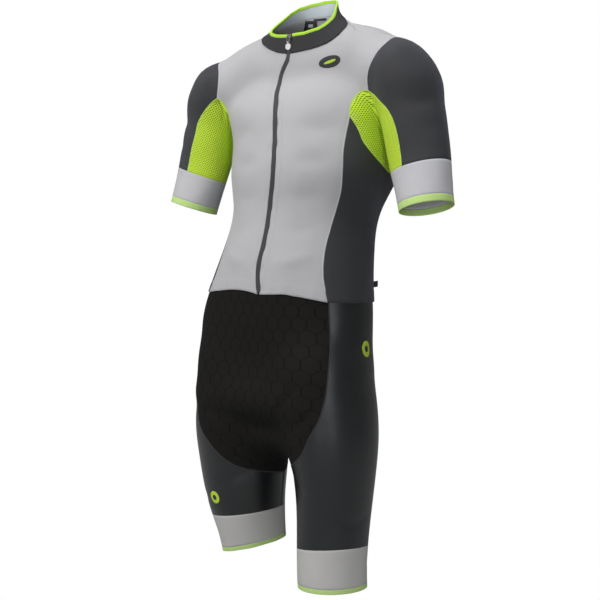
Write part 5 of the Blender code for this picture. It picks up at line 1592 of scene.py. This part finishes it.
@dataclass
class Stitching:
    """Threads of the seams: small grains of thread in rows along the seam lines."""
    figure: Figure
    jersey: Jersey
    collar: Collar
    shorts: Shorts
    pitch: float = 2.7
    length: float = 2.1
    thick: float = 0.5

    def grains(self, line: Array, layer_top: float) -> tuple[Array, Array]:
        """Thread grains along a line: an ellipsoid-like grain of two rings and two tips in each frame of
        the line.

        Args:
            line: points on the figure.
            layer_top: height of the cloth's face over the figure, millimetres.
        Returns:
            Vertices and triangles.
        """
        run = np.concatenate([[0], np.cumsum(np.linalg.norm(np.diff(line, axis=0), axis=1))])
        count = max(int(run[-1] / MM / self.pitch), 1)
        at = (np.arange(count) + 0.5) / count * run[-1]
        middle = np.stack([np.interp(at, run, line[:, i]) for i in range(3)], -1)
        ahead = unit(np.stack([np.interp(at + 5e-4, run, line[:, i]) - np.interp(at - 5e-4, run, line[:, i])
                               for i in range(3)], -1))
        up = self.figure.normal(middle)
        across = unit(np.cross(up, ahead))
        turn = np.linspace(0, 2 * np.pi, 6, endpoint=False)
        rings = np.array([(x, r * np.cos(a), r * np.sin(a)) for x,
                          r in ((-0.3, 0.85), (0.3, 0.85)) for a in turn])
        shape = np.concatenate([rings, [(-0.5, 0, -0.3), (0.5, 0, -0.3)]]) * (self.length, self.thick / 2,
                                                                              self.thick / 2)
        base = middle + up * (layer_top + 0.08) * MM
        points = (base[:, None] + MM * (shape[None, :, 0:1] * ahead[:, None] + shape[None, :,
                                                                                     1:2] * across[:, None]
                                        + shape[None, :, 2:3] * up[:, None])).reshape(-1, 3)
        ring = np.arange(6)
        after = (ring + 1) % 6
        sides = np.concatenate([np.stack([ring, ring + 6, after + 6], 1),
                                np.stack([ring, after + 6, after], 1),
                                np.stack([after, np.full(6, 12), ring], 1)[:, [0, 1, 2]],
                                np.stack([ring + 6, np.full(6, 13), after + 6], 1)])
        faces = (np.arange(count)[:, None, None] * 14 + sides[None]).reshape(-1, 3)
        return points, faces[:, ::-1]

    def thread(self, name: str, rows: list[tuple[Array, float]], finish: Finish) -> None:
        """One object from several rows of grains.

        Args:
            name: its name.
            rows: lines with the height of their cloth.
            finish: the thread's finish.
        """
        points, faces, count = [], [], 0
        for line, layer_top in rows:
            p, f = self.grains(line, layer_top)
            points.append(p)
            faces.append(f + count)
            count += len(p)
        piece = add_mesh(name, np.concatenate(points), np.concatenate(faces))
        dress(piece, finish)
        LOG.info("%s: %d grains", name, count // 14)

    def ridges(self, name: str, rows: list[tuple[Array, float]], finish: Finish) -> None:
        """Raised joins along seams: strips with a half-round profile whose edges lie inside the cloth.

        Args:
            name: the object's name.
            rows: lines with the height of their cloth.
            finish: the finish.
        """
        aside = np.array((-1.15, -0.85, -0.4, 0.0, 0.4, 0.85, 1.15))
        high = np.array((-0.35, 0.12, 0.34, 0.4, 0.34, 0.12, -0.35))
        points, faces, count = [], [], 0
        for line, layer_top in rows:
            ahead = unit(np.gradient(line, axis=0))
            across = unit(np.cross(self.figure.normal(line), ahead))
            grid = self.figure.settle(line[:, None] - across[:, None] * (aside * MM)[None, :, None], 2)
            grid = grid + self.figure.normal(grid) * ((layer_top + high) * MM)[None, :, None]
            index = np.arange(grid.shape[0] * grid.shape[1]).reshape(grid.shape[:2]) + count
            quads = np.stack([index[:-1, :-1], index[1:, :-1], index[1:, 1:], index[:-1, 1:]], -1)
            points.append(grid.reshape(-1, 3))
            faces.append(quads.reshape(-1, 4))
            count += index.size
        piece = add_mesh(name, np.concatenate(points), np.concatenate(faces))
        dress(piece, finish)

    def build_ridges(self) -> None:
        """Ridges of the grey, lime and black seams."""
        top = LAYERS["jersey"][0]
        grey, lime, black = [], [], []
        for side in (1, -1):
            s, t = self.jersey.seams[side], self.shorts.seams[side]
            grey += [(s[n], top) for n in ("side_front", "side_back", "shoulder", "armhole_front",
                                           "armhole_back")]
            lime += [(s[n], top) for n in ("gusset_front", "gusset_back", "gusset_bottom", "sleeve_front",
                                           "sleeve_back")]
            black += [(t[n], 0.0) for n in ("front", "seat", "inner")]
        self.ridges("grey_seam_ridges", grey, THREAD_GREY)
        self.ridges("lime_seam_ridges", lime, THREAD_LIME)
        self.ridges("black_seam_ridges", black, THREAD_BLACK)

    def build(self) -> None:
        """Rows beside each seam, hem and strip."""
        self.build_ridges()
        fig, jersey, top = self.figure, self.jersey, LAYERS["jersey"][0]
        pale, dark, lime = [], [], []
        for side in (1, -1):
            s = jersey.seams[side]
            beside = lambda line, aside: fig.shifted(line, aside * side)
            zip_side = beside(jersey.front_line[6:-2], ZIP_SHOWN + 8.5)
            pale += [(zip_side, top + 0.45), (beside(jersey.front_line[2:-2], ZIP_SHOWN + 1.6), top + 0.45)]
            for up in (14.5, 17.6):
                pale.append((beside(s["hem_front"][4:-3], up), top + 0.15))
                dark.append((beside(s["hem_side"][2:-2], up), top + 0.15))
                pale.append((beside(s["hem_back"][2:], up), top + 0.15))
            pale += [(beside(s["shoulder"][1:-1], a), top) for a in (-1.2, 1.2, 9.0)]
            pale += [(beside(s["side_front"][2:-1], 1.4), top), (beside(s["side_back"][2:-1], -1.4), top)]
            pale += [(beside(s["armhole_front"][2:-1], 1.3), top),
                     (beside(s["armhole_back"][2:-1], -1.3), top)]
            lime += [(beside(s["gusset_bottom"][1:-1], -1.0), top),
                     (beside(s["sleeve_front"][3:-1], 1.0), top),
                     (beside(s["sleeve_back"][3:-1], -1.0), top), (beside(s["gusset_front"][2:-1], 1.0), top)]
            t = self.shorts.seams[side]
            dark += [(fig.shifted(t["front"][3:-1], a), 0.0) for a in (-1.2, 1.2)]
            dark += [(fig.shifted(t["seat"][3:-1], a), 0.0) for a in (-1.2, 1.2)]
            dark += [(fig.shifted(t["inner"][1:-1], 1.0), 0.0)]
        self.thread("pale_stitches", pale, THREAD_GREY)
        self.thread("dark_stitches", dark, THREAD_BLACK)
        self.thread("lime_stitches", lime, THREAD_LIME)


@dataclass
class Trimmings:
    """Badges without any mark of a maker, the neck label and the tab at the hip."""
    figure: Figure

    def badge(self, name: str, where: tuple[str, float, float], side: int, half: tuple[float, float],
              turn: float,
              height: float, finish: Finish) -> None:
        """A thin round or oval plate on the cloth: rings of an ellipse, domed at its rim.

        Args:
            name: its name.
            where: tube, distance down it, angle.
            side: 1 left, -1 right.
            half: half width and half height, millimetres.
            turn: tilt in degrees.
            height: height of its face over the figure, millimetres.
            finish: its finish.
        """
        fig = self.figure
        middle = fig.at(*where, side)[0]
        out = fig.normal(middle)
        across = unit(np.cross((0, 0, 1.0), out))
        up = np.cross(out, across)
        tilt = math.radians(turn)
        across, up = across * math.cos(tilt) + up * math.sin(tilt), up * math.cos(tilt) - across * math.sin(tilt)
        angle = np.linspace(0, 2 * np.pi, 48, endpoint=False)
        radius = np.array([0.0001, 0.35, 0.7, 0.93, 1.0, 1.0])[:, None]
        plane = (across * (half[0] * np.cos(angle))[:, None] + up * (half[1] * np.sin(angle))[:, None]) * MM
        flat = fig.settle(middle + plane[None] * radius[..., None], 3)
        lift = np.array([height, height, height, height, height - 0.15, height - 0.8])[:, None, None] * MM
        grid = flat + fig.normal(flat) * lift
        rows, columns = grid.shape[:2]
        index = np.arange(rows * columns).reshape(rows, columns)
        after = np.roll(index, -1, 1)
        quads = np.stack([index[:-1], index[1:], after[1:], after[:-1]], -1).reshape(-1, 4)
        piece = add_mesh(name, grid.reshape(-1, 3), quads)
        dress(piece, finish)

    def plate(self, name: str, points: Array, thick: float, finish: Finish, *nodes: str) -> None:
        """A thin closed plate from a grid of points, its wall along the grid's own normals.

        Args:
            name: its name.
            points: grid of points.
            thick: thickness, millimetres.
            finish: its finish.
            nodes: CAD nodes that it replaces.
        """
        n = unit(np.cross(np.gradient(points, axis=1), np.gradient(points, axis=0)))
        cloth = Cloth(name, points, self.figure, "shorts")
        piece = cloth.closed_wall(points - n * thick / 2 * MM, points + n * thick / 2 * MM)
        dress(piece, finish, *nodes)

    def build_label(self) -> None:
        """Label inside the nape, with a plain dash on it and a narrow tape beside it."""
        fig = self.figure

        def inside(a0: float, a1: float, b0: float, b1: float, depth: float, n: int) -> Array:
            """Grid inside the back of the neck, raised by depth millimetres over the figure's level."""
            grid = np.stack([fig.at("neck", a, np.linspace(b0, b1, n)) for a in np.linspace(a0, a1, n)])
            return grid + fig.normal(grid) * depth * MM
        self.plate("neck_label_cloth", inside(64, 82, 199, 222, 0.2, 10), 0.6, LABEL_CLOTH, "neck_label")
        self.plate("size_tape", inside(61.5, 64.5, 178, 205, 0.2, 8), 0.5, LABEL_CLOTH)
        self.plate("label_dash", inside(70, 75, 206, 215, -0.3, 6), 0.2, LABEL_MARK)

    def build_tab(self) -> None:
        """Folded webbing tab at the left hip: a loop of tape standing out from the seam, a rounded
        hairpin."""
        fig = self.figure
        point = fig.at("trunk", 359, 118)[0]
        out = fig.normal(point)
        across = unit(np.cross(out, (0, 0, 1.0)))
        up = np.cross(across, out)
        half_turn = np.linspace(-np.pi / 2, np.pi / 2, 9)
        x = np.concatenate([[2.7, 5.0], 8.6 + 1.0 * np.cos(half_turn), [5.0, 2.7]])
        y = np.concatenate([[-0.75, -0.9], 0.9 * np.sin(half_turn), [0.9, 0.75]])
        rows = np.linspace(-5, 5, 8)
        sag = 1.2 * (x - 2.7) / 7
        grid = point + MM * (x[None, :, None] * out + y[None, :, None] * across
                             + (rows[:, None, None] + sag[None, :, None]) * up)
        self.plate("hip_tab_cloth", grid, 0.7, TAB_CLOTH, "side_tab")

    def build(self) -> None:
        """Builds the badges, label and tab."""
        self.badge("chest_badge", ("trunk", -6, 38), 1, (19.5, 9.5), 8, 2.75, BADGE_BLACK)
        self.badge("chest_badge_dash", ("trunk", -6, 38), 1, (11, 2.2), 14, 2.95, BADGE_LIME)
        for name, where, side, size in (("hip_badge", ("trunk", 462, 88), 1, 13.5),
                                        ("thigh_badge", ("leg", 221, 9), -1, 11.5)):
            self.badge(name, where, side, (size, size), 0, 0.45, BADGE_LIME)
            self.badge(name + "_dot", where, side, (size * 0.42, size * 0.42), 0, 0.65, BADGE_BLACK)
        self.build_label()
        self.build_tab()
        LOG.info("trimmings: badges, label, tab")


# Lamps of the studio: name, place, width and height in metres, watts, colour.
LAMPS = (
    ("key_softbox", (-0.9, -2.1, 1.5), (0.9, 0.9), 49, (1.0, 1.0, 1.0)),
    ("right_strip", (1.9, -2.0, -0.3), (0.22, 1.9), 17, (0.93, 0.96, 1.0)),
    ("front_strip", (0.6, -2.3, -0.6), (0.2, 1.0), 6, (1.0, 1.0, 1.0)),
    ("left_strip", (-1.7, -1.5, -0.4), (0.16, 1.8), 7, (1.0, 1.0, 1.0)),
    ("top_softbox", (0.5, -0.2, 1.8), (1.0, 1.0), 26, (0.94, 0.96, 1.0)),
)


@dataclass
class Studio:
    """White floor and backdrop light, soft lamps and the camera."""
    azimuth: float = 34.0
    focal_px: float = 833.0
    image_px: float = 600.0
    distance: float = 1.458
    eye_height: float = -0.345
    horizon_px: float = 226.0
    aside_px: float = 6.0

    def build_camera(self) -> None:
        """Camera that looks along the photograph's direction, pitched by atan((300 - horizon) / focal)."""
        turn = math.radians(self.azimuth)
        right = np.array([math.cos(turn), math.sin(turn), 0.0])
        level = np.array([-math.sin(turn), math.cos(turn), 0.0])
        pitch = math.atan((self.image_px / 2 - self.horizon_px) / self.focal_px)
        ahead = level * math.cos(pitch) - np.array([0, 0, math.sin(pitch)])
        up = np.cross(right, ahead)
        eye = (-level * self.distance + np.array([0, 0, self.eye_height])
               - right * self.aside_px * self.distance / self.focal_px)
        data = bpy.data.cameras.new("camera")
        data.sensor_width = 36.0
        data.lens = self.focal_px / self.image_px * data.sensor_width
        data.clip_start, data.clip_end = 0.05, 30.0
        camera = bpy.data.objects.new("camera", data)
        matrix = np.eye(4)
        matrix[:3, 0], matrix[:3, 1], matrix[:3, 2], matrix[:3, 3] = right, up, -ahead, eye
        camera.matrix_world = Matrix(matrix.tolist())
        bpy.context.scene.collection.objects.link(camera)
        bpy.context.scene.camera = camera

    def lamp(self, name: str, place: tuple[float, float, float], size: tuple[float, float], watts: float,
             color: tuple[float, float, float]) -> None:
        """Rectangular soft lamp that faces the suit's middle.

        Args:
            name: its name.
            place: its middle, metres.
            size: width and height, metres.
            watts: its power.
            color: its colour.
        """
        data = bpy.data.lights.new(name, "AREA")
        data.shape, data.size, data.size_y, data.energy, data.color = "RECTANGLE", *size, watts, color
        obj = bpy.data.objects.new(name, data)
        obj.location = place
        aim = Vector((0, 0, -0.45)) - obj.location
        obj.rotation_euler = aim.to_track_quat("-Z", "Y").to_euler()
        bpy.context.scene.collection.objects.link(obj)

    def build_floor(self) -> None:
        """Large white floor just under the legs; the camera sees it as plain white, as the photograph's
        ground."""
        z = CAD_BOX[0][2] - 0.004
        reach = 12.0
        points = np.array([(-reach, -reach, z), (reach, -reach, z), (reach, reach, z), (-reach, reach, z)])
        floor = add_mesh("floor", points, np.array([[0, 1, 2, 3]]))
        material = bpy.data.materials.new("white_floor")
        material.use_nodes = True
        tree = material.node_tree
        shader = tree.nodes["Principled BSDF"]
        shader.inputs["Base Color"].default_value = (0.45, 0.45, 0.45, 1)
        shader.inputs["Roughness"].default_value = 0.9
        glow = tree.nodes.new("ShaderNodeEmission")
        mix = tree.nodes.new("ShaderNodeMixShader")
        rays = tree.nodes.new("ShaderNodeLightPath")
        tree.links.new(rays.outputs["Is Camera Ray"], mix.inputs[0])
        tree.links.new(shader.outputs[0], mix.inputs[1])
        tree.links.new(glow.outputs[0], mix.inputs[2])
        tree.links.new(mix.outputs[0], tree.nodes["Material Output"].inputs["Surface"])
        floor.data.materials.append(material)

    def build(self) -> None:
        """World, floor, lamps and camera."""
        scene = bpy.context.scene
        world = bpy.data.worlds.new("studio")
        scene.world = world
        world.use_nodes = True
        tree = world.node_tree
        back = tree.nodes["Background"]
        back.inputs["Color"].default_value = (1, 1, 1, 1)
        rays = tree.nodes.new("ShaderNodeLightPath")
        level = tree.nodes.new("ShaderNodeMapRange")
        level.inputs["To Min"].default_value, level.inputs["To Max"].default_value = 0.24, 1.0
        tree.links.new(rays.outputs["Is Camera Ray"], level.inputs["Value"])
        tree.links.new(level.outputs["Result"], back.inputs["Strength"])
        scene.view_settings.view_transform = "Standard"
        self.build_floor()
        for name, place, size, watts, color in LAMPS:
            self.lamp(name, place, size, watts, color)
        self.build_camera()


def main() -> None:
    """Builds the suit piece by piece, then the studio."""
    logging.basicConfig(level=logging.INFO, format="%(message)s")
    figure = Figure()
    jersey = Jersey(figure)
    jersey.build()
    collar = Collar(figure, jersey)
    collar.build()
    ZipFastener(figure, jersey, collar).build()
    shorts = Shorts(figure)
    shorts.build()
    Stitching(figure, jersey, collar, shorts).build()
    Trimmings(figure).build()
    Studio().build()


if __name__ == "__main__":
    main()
